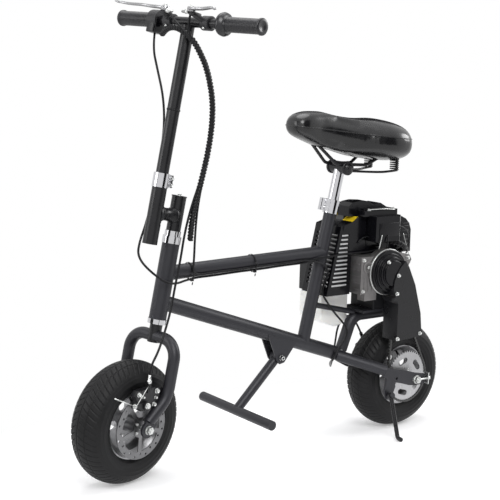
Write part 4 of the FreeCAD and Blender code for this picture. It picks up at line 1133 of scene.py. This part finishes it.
def addCable(name, line):
    # the front brake cable's lower part rides on the steering; the other parts are left on no body
    middle = nearestIndex(line, mastAt(*cableFacts["splitAt"][name]))
    pieces = []
    for part, stretch in (("Upper", line[:middle + 1]), ("Lower", line[middle:])):
        tube = tubeAlong(stretch, cableFacts["radius"])
        onFork = part == "Lower" and name == "frontBrakeCable"
        pieces.append(newPiece(name + part, *tube, "cable_rubber", "steering" if onFork else None))
    upper, lower = pieces
    blendAcross(upper, "steering", "bars", *barBend)
    if name != "frontBrakeCable":
        blendAcross(lower, "steering", "frame", *headBend)
    print(name, "length", round(sum((b - a).length for a, b in zip(line, line[1:])), 3), "m")
    return upper


shownCables = [addCable(name, splineLine(route, 8)) for name, route in cableLines().items()]
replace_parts(shownCables[0], "control_cables")


# Spiral wrap that holds the two brake cables together beside the mast
loomFacts = {
    "radius": 6.9,
    "pitch": 7.4,
    "raised": 0.62,   # share of a turn that stands out
    "groove": 1.6,
    "step": 1.5,
    "sides": 14,
    "splitAt": (590, -72, 55),
    "route": ((862, 14, -62), (872, 26, -42), (878, 31, -14), (872, 28, 12), (856, 14, 34), (835, -4, 42),
              (803, -31, 48), (745, -58, 54.5), (684, -71, 56.5), (622, -73, 56.5), (560, -71, 54),
              (500, -69, 49), (452, -74, 45), (424, -82, 42)),
}


def evenPlaces(line, step):
    # places at even steps in mm along a line, and the line's length
    length = [0.0]
    for a, b in zip(line, line[1:]):
        length.append(length[-1] + (b - a).length * 1000)
    steps = int(length[-1] / step)
    places, k = [], 0
    for n in range(steps + 1):
        want = length[-1] * n / steps
        while k < len(line) - 2 and length[k + 1] < want:
            k += 1
        share = (want - length[k]) / max(1e-6, length[k + 1] - length[k])
        places.append(line[k].lerp(line[k + 1], min(1.0, share)))
    return places, length[-1]


def spiralWrap(name, line, body):
    facts = loomFacts
    sides = facts["sides"]
    places, length = evenPlaces(line, facts["step"])
    steps = len(places) - 1
    points = []
    normal = sideOf((places[1] - places[0]).normalized())
    for n, here in enumerate(places):
        ahead = (places[min(n + 1, steps)] - places[max(n - 1, 0)]).normalized()
        normal = (normal - ahead * normal.dot(ahead)).normalized()
        other = ahead.cross(normal)
        for m in range(sides):
            angle = 2 * math.pi * m / sides
            phase = (length * n / steps / facts["pitch"] - m / sides) % 1.0
            size = facts["radius"] if phase < facts["raised"] else facts["radius"] - facts["groove"]
            points.append(here + (normal * math.cos(angle) + other * math.sin(angle)) * (size / 1000))
    return newPiece(name, points, skinned(steps + 1, sides), "cable_rubber", body)


loomLine = splineLine([mastAt(*p) for p in loomFacts["route"]])
loomMiddle = nearestIndex(loomLine, mastAt(*loomFacts["splitAt"]))
blendAcross(spiralWrap("loomUpper", loomLine[:loomMiddle + 1], None), "steering", "bars", *barBend)
spiralWrap("loomLower", loomLine[loomMiddle:], "steering")
print("cables built")


# Cable ties round the top tube
tieFacts = {
    "spots": (655, 477),
    "radius": 17.9,
    "bulge": (5.5, 4.5),   # how far the tie goes out round the cables, sideways and down
    "width": 3.6,
    "thickness": 1.3,
    "count": 40,
    "headAt": (15, -20),
    "headSize": (6.5, 6.5, 5.0),
    "tailSize": (2.4, 1.2, 7.0),
}


def addTies():
    facts = tieFacts
    parts = []
    (x0, z0), (x1, z1) = bikeFacts["topStart"], bikeFacts["topEnd"]
    run = (frameAt(x1, 0, z1) - frameAt(x0, 0, z0)).normalized()
    count = facts["count"]
    for x in facts["spots"]:
        centre = belowTop(x, 0, 0)
        loop = []
        for k in range(count):
            angle = 2 * math.pi * k / count
            y, z = math.cos(angle) * facts["radius"], math.sin(angle) * facts["radius"]
            if math.sin(angle) < 0.1 and math.cos(angle) > 0:
                y += facts["bulge"][0] * math.cos(angle)
                z -= facts["bulge"][1] * abs(math.sin(angle))
            loop.append(centre + (leftward * y + upward * z) / 1000)
        rows = []
        for along, stand in ((-1, 0.0), (-1, facts["thickness"]), (1, facts["thickness"]), (1, 0.0)):
            for place in loop:
                out = (place - centre).normalized()
                rows.append(place + out * (stand / 1000) + run * (along * facts["width"] / 2000))
        parts.append((rows, skinned(4, count, loop=True)))
        head = centre + (leftward * facts["headAt"][0] + upward * facts["headAt"][1]) / 1000
        parts.append(boxAt(head, run, leftward, facts["headSize"]))
        tail = head - upward * 0.008 + leftward * 0.002
        tailAcross = (leftward * 0.3 + upward).normalized().cross(run)
        parts.append(boxAt(tail, run, tailAcross, facts["tailSize"]))
    soften(joinedPiece("cableTies", parts, "cable_rubber", "frame", smooth=False), 0.3, 2)


addTies()


# Engine trim: the plain yellow patch, the bolts, and the alloy fins behind the shroud's slots, coloured near white
# as a painted highlight in the slots
engineTrim = {
    "slope": ((183.4, 554.6), (166.6, 566.4)),
    "patchY": (-14, 24),
    "patchThickness": 0.5,
    "sideBolts": ((117, 90.25, 457), (90, 100, 423), (93, 100, 377), (6, 100, 266), (84, 100, 260),
                  (32, 70, 460), (58, 70, 418)),
    "sideBoltSize": (5.0, 4.2),
    "lidBolts": ((58, 36, 582), (140, 34, 582), (60, -8, 582)),
    "lidBoltSize": (5.0, 3.2),
    "slotRows": 13,
    "firstSlot": 396.5,
    "slotPitch": 10.4,
    "slotHeight": 3.9,
    "sideFin": (194, 20.6, 2.0),   # rear end, place and thickness
    "frontFins": ((-62, -43), (-15, 16)),
    "frontFinDepth": 2.4,
    "tubeGap": 4.5,
}


def addPatch():
    (x0, z0), (x1, z1) = engineTrim["slope"]
    y0, y1 = engineTrim["patchY"]
    out = (forward * (z1 - z0) + upward * (x0 - x1)).normalized()
    corners = [frameAt(x0, y0, z0), frameAt(x0, y1, z0), frameAt(x1, y1, z1), frameAt(x1, y0, z1)]
    plate = prism([p + out * 0.0001 for p in corners], engineTrim["patchThickness"])
    soften(newPiece("plainPatch", *plate, "patch_yellow", "frame", smooth=False), 0.4, 2)


def addFins():
    fins = []
    rear, place, thickness = engineTrim["sideFin"]
    deep = engineTrim["frontFinDepth"]
    tall = engineTrim["slotHeight"]
    for number in range(engineTrim["slotRows"]):
        z = engineTrim["firstSlot"] + engineTrim["slotPitch"] * number
        x0, z0 = bikeFacts["seatBase"]
        edge = x0 - (z - z0) * seatCos / seatSin - bikeFacts["seatTube"] / seatSin - engineTrim["tubeGap"]
        middle = frameAt((rear + edge) / 2, place, z)
        fins.append(boxAt(middle, forward, leftward, (edge - rear, thickness, tall)))
        for y0, y1 in engineTrim["frontFins"]:
            middle = frameAt(edge - deep / 2, (y0 + y1) / 2, z)
            fins.append(boxAt(middle, forward, leftward, (deep, y1 - y0, tall)))
    # the near-white fins fill the slots as a painted highlight
    joinedPiece("coolingFins", fins, "fin_alloy", "frame", smooth=False)


addPatch()
engineBolts = []
for place in engineTrim["sideBolts"]:
    engineBolts.append(boltParts(frameAt(*place), leftward, *engineTrim["sideBoltSize"]))
for place in engineTrim["lidBolts"]:
    engineBolts.append(boltParts(frameAt(*place), upward, *engineTrim["lidBoltSize"]))
joinedPiece("engineBolts", engineBolts, "zinc", "frame")
addFins()
print("engine trim built")


# Stem: flared bridge between the sleeve and the mast's socket, cap and bolts
stemFacts = {
    "bridgeHeight": 472,
    "flare": [(20, 6), (19, 15), (16.5, 19), (15, 24)],
    "waist": 14.2,
    "capHeight": 514.6,
    "cap": ((16.4, 0), (17.6, 0.6), (17.6, 2.4), (16.6, 3.2), (0.5, 3.2)),
    "capBolt": 517.4,
    "capBoltSize": (5.2, 4.2),
    "clampBolts": (537, 552),
    "clampBoltSize": (4.6, 3.6),
    "clampNutSize": (4.6, 3.4),
    "clampSide": (-22, 12),
}


def addStemTrim():
    facts = stemFacts
    start, end = steerAt(facts["bridgeHeight"]), mastAt(facts["bridgeHeight"])
    reach = (end - start).length * 1000
    profile = facts["flare"] + [(facts["waist"], reach / 2)]
    profile += [(radius, reach - along) for radius, along in reversed(facts["flare"])]
    parts = [lathe(start, (end - start).normalized(), profile, 40),
             lathe(steerAt(facts["capHeight"]), steerAxis, facts["cap"], 40)]
    joinedPiece("stemBridge", parts, "satin_black", "steering")
    bolts = [boltParts(steerAt(facts["capBolt"]), steerAxis, *facts["capBoltSize"], socket=False)]
    ahead, side = facts["clampSide"]
    for height in facts["clampBolts"]:
        near, far = mastAt(height, ahead, side), mastAt(height, ahead, -side)
        bolts.append(boltParts(near, steerLeft, *facts["clampBoltSize"], washer=False))
        bolts.append(boltParts(far, -steerLeft, *facts["clampNutSize"], washer=False, socket=False))
    joinedPiece("stemBolts", bolts, "zinc", "steering")


addStemTrim()


# Front caliper: its bolts, pull arm's nuts, wire, return spring and cable stop, from the front axle
caliperFacts = {
    "face": 70,
    "bolts": ((-26, 84, 6.2), (-18, 55, 5.6), (-22, 70, 3.6), (28, 85, 5.4), (16, 78, 3.4)),   # x, z, size
    "boltHeight": 4.6,
    "nuts": (((8, 78, 58), 7.0, 4.0), ((44, 74, 64), 5.2, 4.4)),
    "wireEnd": ((44, 79, 64), (76, 79, 80), (106, 78, 95)),
    "wireEndRadius": 1.3,
    "wire": ((0, 73, 104), (44, 79, 64)),
    "wireRadius": 0.9,
    "springFrom": (8, 74.4, 58),
    "springRadius": 8.4,
    "springRise": 0.035,
    "springWire": 0.9,
    "springSteps": (90, 15),   # in all, and for each turn
    "stop": ((0, 72, 100), (0, 72, 159)),
    "stopProfile": ((3.2, 6), (5.4, 7), (5.4, 13), (3.6, 14), (3.6, 19), (2.8, 20), (2.8, 26)),
}


def addCaliperTrim():
    facts = caliperFacts
    bright = [boltParts(caliperAt(x, facts["face"], z), steerLeft, size, facts["boltHeight"])
              for x, z, size in facts["bolts"]]
    bright += [boltParts(caliperAt(*place), steerLeft, size, height, socket=False)
               for place, size, height in facts["nuts"]]
    bright.append(tubeAlong([caliperAt(*p) for p in facts["wireEnd"]], facts["wireEndRadius"], 8))
    bright.append(tubeAlong([caliperAt(*p) for p in facts["wire"]], facts["wireRadius"], 8))
    stop, above = (caliperAt(*p) for p in facts["stop"])
    bright.append(lathe(stop, (above - stop).normalized(), facts["stopProfile"], 18))
    joinedPiece("caliperFittings", bright, "zinc", "steering")
    coil = coilLine(caliperAt, facts["springFrom"], facts["springRadius"], facts["springRise"],
                    *facts["springSteps"], climb=1)
    newPiece("caliperSpring", *tubeAlong(coil, facts["springWire"], 6), "dark_steel", "steering")


addCaliperTrim()


# Footrest's bolt, discs of the saddle clamp, springs and braces under the saddle
saddleTrim = {
    "footrestBolt": (389, 18.6, 232),
    "footrestBoltSize": (7.4, 5.0),
    "clampHeight": 690,
    "clampFace": 26.2,
    "clampDisc": ((17, 0), (17.6, 0.8), (17.6, 5), (14, 6.4), (9, 6.6), (8.6, 11), (5, 12), (0.5, 12)),
    "springAt": (74, 48, 682),
    "springRadius": 10,
    "springRise": 0.32,
    "springSteps": (100, 16),   # in all, and for each turn
    "springWire": 1.8,
    "braceStart": (684, -8, 18),   # height on the seat post's line, ahead and sideways
    "brace": ((120, 36, 677), (84, 48, 680), (64, 48, 682)),
    "braceRadius": 3.0,
}


def addSaddleTrim():
    facts = saddleTrim
    x, y, z = facts["footrestBolt"]
    bolts = [boltParts(frameAt(x, y, z), leftward, *facts["footrestBoltSize"]),
             boltParts(frameAt(x, -y, z), -leftward, *facts["footrestBoltSize"], socket=False)]
    joinedPiece("footrestBolt", bolts, "zinc", "frame")
    parts = []
    for side in (-1, 1):
        face = seatLineAt(facts["clampHeight"]) + leftward * (side * facts["clampFace"] / 1000)
        parts.append(lathe(face, leftward * side, facts["clampDisc"], 28))
    for side in (-1, 1):
        x, y, z = facts["springAt"]
        coil = coilLine(frameAt, (x, side * y, z), facts["springRadius"], facts["springRise"],
                        *facts["springSteps"], climb=2)
        parts.append(tubeAlong(coil, facts["springWire"], 8))
        height, ahead, left = facts["braceStart"]
        brace = [seatLineAt(height, ahead, side * left)]
        brace += [frameAt(x, side * y, z) for x, y, z in facts["brace"]]
        parts.append(tubeAlong(splineLine(brace, 8), facts["braceRadius"]))
    joinedPiece("saddleHardware", parts, "satin_black", "seat")


addSaddleTrim()


# Hoses and wires on the engine's left side
wireFacts = {
    "radius": 1.7,
    "routes": (
        ((62, 44, 545), (30, 50, 535), (2, 34, 520), (-16, 20, 494), (-12, 26, 470), (10, 40, 466)),
        ((88, 22, 492), (120, 34, 510), (150, 30, 520), (165, 26, 500)),
        ((96, 61, 520), (100, 66, 505), (98, 62, 486), (90, 40, 478)),
    ),
}
joinedPiece("engineWires", wiresAlong(wireFacts["routes"], wireFacts["radius"]), "cable_rubber", "frame")
print("small trim built")


# Brake levers as flat curved blades with their perches, the throttle's box and the band on the mast
leverFacts = {
    "rightBlade": ((915, 40, -33), (916, 47, -50), (917, 43, -76), (919, 48, -108), (920, 43, -148),
                   (922, 46, -176), (923, 51, -191)),
    "leftBlade": ((915, 40, 33), (916, 48, 48), (917, 43, 72), (919, 46, 94), (920, 50, 110),
                  (917, 49, 119)),
    "width": 6.4,
    "thickness": 3.4,
    "bladeSides": 16,
    "pivot": (910, 40, 40),
    "pivotDisc": ((8.4, 0), (9.2, 0.8), (9.2, 9.4), (8.4, 10.2)),
    "pivotBolt": 920,
    "pivotBoltSize": (5.4, 3.6),
    "perch": (907, 30, 44),
    "perchSize": (26, 15, 9),
    "perchBolt": (884, 12, 57),
    "perchBoltSize": (4.4, 3.4),
    "barrel": (910, 41, 34),
    "barrelProfile": ((3.4, 0), (5.0, 0.8), (5.0, 8), (3.6, 9), (3.6, 14), (2.9, 15), (2.9, 19)),
    "throttleBox": (884, 4, -98),
    "throttleSize": (23, 34, 38),
    "plate": (884, 4, -84.8),
    "plateSize": (2.6, 27, 33),
    "bandHeight": 701.0,
    "band": ((14.2, -2.2), (15.4, -1.7), (15.4, 1.7), (14.2, 2.2)),
}


def bladeAlong(line):
    # a flat rounded bar that narrows along the line and swells a little at its tip
    points = []
    sides, last = leverFacts["bladeSides"], len(line) - 1
    for k, here in enumerate(line):
        ahead = (line[min(k + 1, last)] - line[max(k - 1, 0)]).normalized()
        across = ahead.cross(steerAxis).normalized()
        lift = across.cross(ahead)
        share = k / last
        swell = 1.25 - 0.75 * share + 5.0 * max(0.0, share - 0.9)
        end = min(1.0, 0.35 + min(k, last - k) * 0.22)
        wide = leverFacts["width"] * swell * end
        thick = leverFacts["thickness"] * (0.6 + 0.4 * swell) * end
        for n in range(sides):
            angle = 2 * math.pi * n / sides
            y, z = math.cos(angle), math.sin(angle)
            y = math.copysign(abs(y) ** 0.7, y) * wide
            z = math.copysign(abs(z) ** 0.7, z) * thick
            points.append(here + (across * y + lift * z) / 1000)
    return points, skinned(len(line), sides)


def addBarTrim():
    facts = leverFacts
    blades, dark, bolts = [], [], []
    for key, side in (("rightBlade", -1), ("leftBlade", 1)):
        def onSide(height, ahead, left):
            return mastAt(height, ahead, side * left)

        height, ahead, left = facts["pivot"]
        blades.append(bladeAlong(splineLine([mastAt(*p) for p in facts[key]])))
        blades.append(lathe(onSide(height, ahead, left), steerAxis, facts["pivotDisc"], 28))
        bolts.append(boltParts(onSide(facts["pivotBolt"], ahead, left), steerAxis, *facts["pivotBoltSize"]))
        bolts.append(lathe(onSide(*facts["barrel"]), -steerLeft * side, facts["barrelProfile"], 18))
        perchBolt = boltParts(onSide(*facts["perchBolt"]), -steerAxis, *facts["perchBoltSize"], washer=False)
        bolts.append(perchBolt)
        dark.append(boxAt(onSide(*facts["perch"]), steerAhead, steerLeft, facts["perchSize"]))
    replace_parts(joinedPiece("leverBlades", blades, "lever_alloy", "bars"), "brake_levers")
    dark.append(boxAt(mastAt(*facts["throttleBox"]), steerLeft, steerAhead, facts["throttleSize"]))
    soften(joinedPiece("leverBodies", dark, "satin_black", "bars"), 2.6, 4)
    plate = boxAt(mastAt(*facts["plate"]), steerLeft, steerAhead, facts["plateSize"])
    soften(newPiece("throttlePlate", *plate, "engine_black", "bars"), 1.1, 3)
    joinedPiece("leverFittings", bolts, "zinc", "bars")
    band = lathe(mastAt(facts["bandHeight"]), steerAxis, facts["band"], 48, loop=True)
    newPiece("mastBand", *band, "cable_rubber", "bars")


addBarTrim()


# Housing: bright rim, boss and ribs, rods of the carburettor, hose and mouldings, from the crankshaft
housingFacts = {
    "rim": ((57.0, 62.4), (59.0, 63.0), (59.2, 69.0), (57.4, 70.3)),
    "boss": (62, 61.6, 16),
    "bossProfile": ((15, 0), (15, 2.2), (13.6, 3.2), (9.4, 3.2), (8.8, 1.2), (4, 1.0)),
    "bossBolt": (62, 63, 16),
    "bossBoltSize": (5.2, 4.0),
    "uprights": (30, 44, 58, 72),
    "uprightAt": (62.4, -28),
    "uprightSize": (38, 2.6, 2.2),
    "ribs": (-40, -24, -8, 8, 24),
    "ribAt": (84.4, 40),
    "ribSize": (34, 2.4, 2.4),
    "bolts": ((76, 62, 34), (76, 62, -44)),
    "boltSize": (4.8, 4.0),
    "rods": (
        ((117, 62, 522), (121, 63, 505), (126, 62, 487)),
        ((4, 20, 514), (0, 27, 488), (-16, 24, 458), (-26, 20, 436)),
        ((150, 46, 586), (118, 47, 586), (84, 46, 585), (58, 42, 581)),
    ),
    "rodRadius": 1.2,
    "hose": ((60, 30, 500), (40, 44, 496), (16, 40, 484), (4, 26, 476), (10, 12, 466)),
    "hoseRadius": 7.0,
    "hoseWaist": 0.84,
    "lidPanel": ((2, 8, 155), (86, 26, 3.0)),
    "sidePanels": (((-8, 58.9, 106), (66, 34, 2.4)), ((-106, 4.6, 78), (46, 64, 2.6)),
                   ((112, 24.5, 112), (8, 10, 3.0))),
    "grooves": 5,
    "grooveFrom": (-106, 5.4, 54),
    "groovePitch": 12,
    "grooveSize": (40, 3.0, 3.4),
}


def addHousingTrim():
    facts = housingFacts
    alloy = [lathe(crankAt(*facts["boss"]), leftward, facts["bossProfile"], 32)]
    y, z = facts["uprightAt"]
    alloy += [boxAt(crankAt(x, y, z), upward, forward, facts["uprightSize"]) for x in facts["uprights"]]
    x, y = facts["ribAt"]
    alloy += [boxAt(crankAt(x, y, z), leftward, upward, facts["ribSize"]) for z in facts["ribs"]]
    soften(joinedPiece("housingTrim", alloy, "cast_alloy", "frame"), 0.8, 3)
    boss, size = crankAt(*facts["bossBolt"]), facts["bossBoltSize"]
    bright = [lathe(crankAt(0, 0, 0), leftward, facts["rim"], 72, loop=True),
              boltParts(boss, leftward, *size, washer=False, socket=False)]
    bright += [boltParts(crankAt(*place), leftward, *facts["boltSize"]) for place in facts["bolts"]]
    joinedPiece("engineRods", bright + wiresAlong(facts["rods"], facts["rodRadius"]), "zinc", "frame")
    line = splineLine([frameAt(*p) for p in facts["hose"]], 12)
    hose = tubeAlong(line, facts["hoseRadius"], 16, ripple=lambda k: 1.0 if k % 4 < 2 else facts["hoseWaist"])
    newPiece("breatherHose", *hose, "cable_rubber", "frame")


def addMouldings():
    facts = housingFacts
    panels = [boxAt(crankAt(*place), forward, upward, size) for place, size in facts["sidePanels"]]
    place, size = facts["lidPanel"]
    panels.append(boxAt(crankAt(*place), forward, leftward, size))
    x, y, z = facts["grooveFrom"]
    for number in range(facts["grooves"]):
        middle = crankAt(x, y, z + facts["groovePitch"] * number)
        panels.append(boxAt(middle, forward, upward, facts["grooveSize"]))
    soften(joinedPiece("engineMouldings", panels, "engine_black", "frame"), 1.1, 3)


addHousingTrim()
addMouldings()


# Right side: ribs and bolts of the starter's cover, its handle, ribs on the muffler, cap of the tank
rightFacts = {
    "spokes": 14,
    "spokeRing": 34,
    "spokeY": -101.3,
    "spokeSize": (20, 2.0, 5.0),
    "mufflerRibs": 6,
    "mufflerFrom": (108, -113.4, -48),
    "mufflerPitch": 11,
    "mufflerSize": (44, 4.0, 1.8),
    "handle": (34, -98, 52),
    "handleProfile": ((4, -16), (5.4, -14), (4.6, 0), (5.4, 14), (4, 16)),
    "cap": (182, -119, 342),
    "capProfile": ((16, -6), (18.4, -5), (18.4, 4), (16.6, 6), (0.5, 6)),
    "coverBoltRing": 44,
    "coverBoltY": -92.4,
    "coverBoltTurns": (0.8, 2.4, 3.9, 5.5),
    "coverBoltSize": (4.6, 3.6),
}


def addRightTrim():
    facts = rightFacts
    dark = []
    for k in range(facts["spokes"]):
        angle = 2 * math.pi * k / facts["spokes"]
        spoke = forward * math.cos(angle) + upward * math.sin(angle)
        middle = crankAt(0, facts["spokeY"], 0) + spoke * (facts["spokeRing"] / 1000)
        dark.append(boxAt(middle, spoke, leftward, facts["spokeSize"]))
    x, y, z = facts["mufflerFrom"]
    for number in range(facts["mufflerRibs"]):
        middle = crankAt(x, y, z + facts["mufflerPitch"] * number)
        dark.append(boxAt(middle, forward, upward, facts["mufflerSize"]))
    soften(joinedPiece("coverRibs", dark, "satin_black", "frame"), 0.8, 2)
    handle = lathe(crankAt(*facts["handle"]), forward, facts["handleProfile"], 20)
    newPiece("starterHandle", *handle, "housing_plastic", "frame")
    cap = lathe(frameAt(*facts["cap"]), -leftward, facts["capProfile"], 36)
    newPiece("tankCap", *cap, "housing_plastic", "frame")
    bolts = []
    for turn in facts["coverBoltTurns"]:
        x, z = facts["coverBoltRing"] * math.cos(turn), facts["coverBoltRing"] * math.sin(turn)
        bolts.append(boltParts(crankAt(x, facts["coverBoltY"], z), -leftward, *facts["coverBoltSize"]))
    joinedPiece("coverBolts", bolts, "zinc", "frame")


addRightTrim()
print("bar, housing and cover trim built")
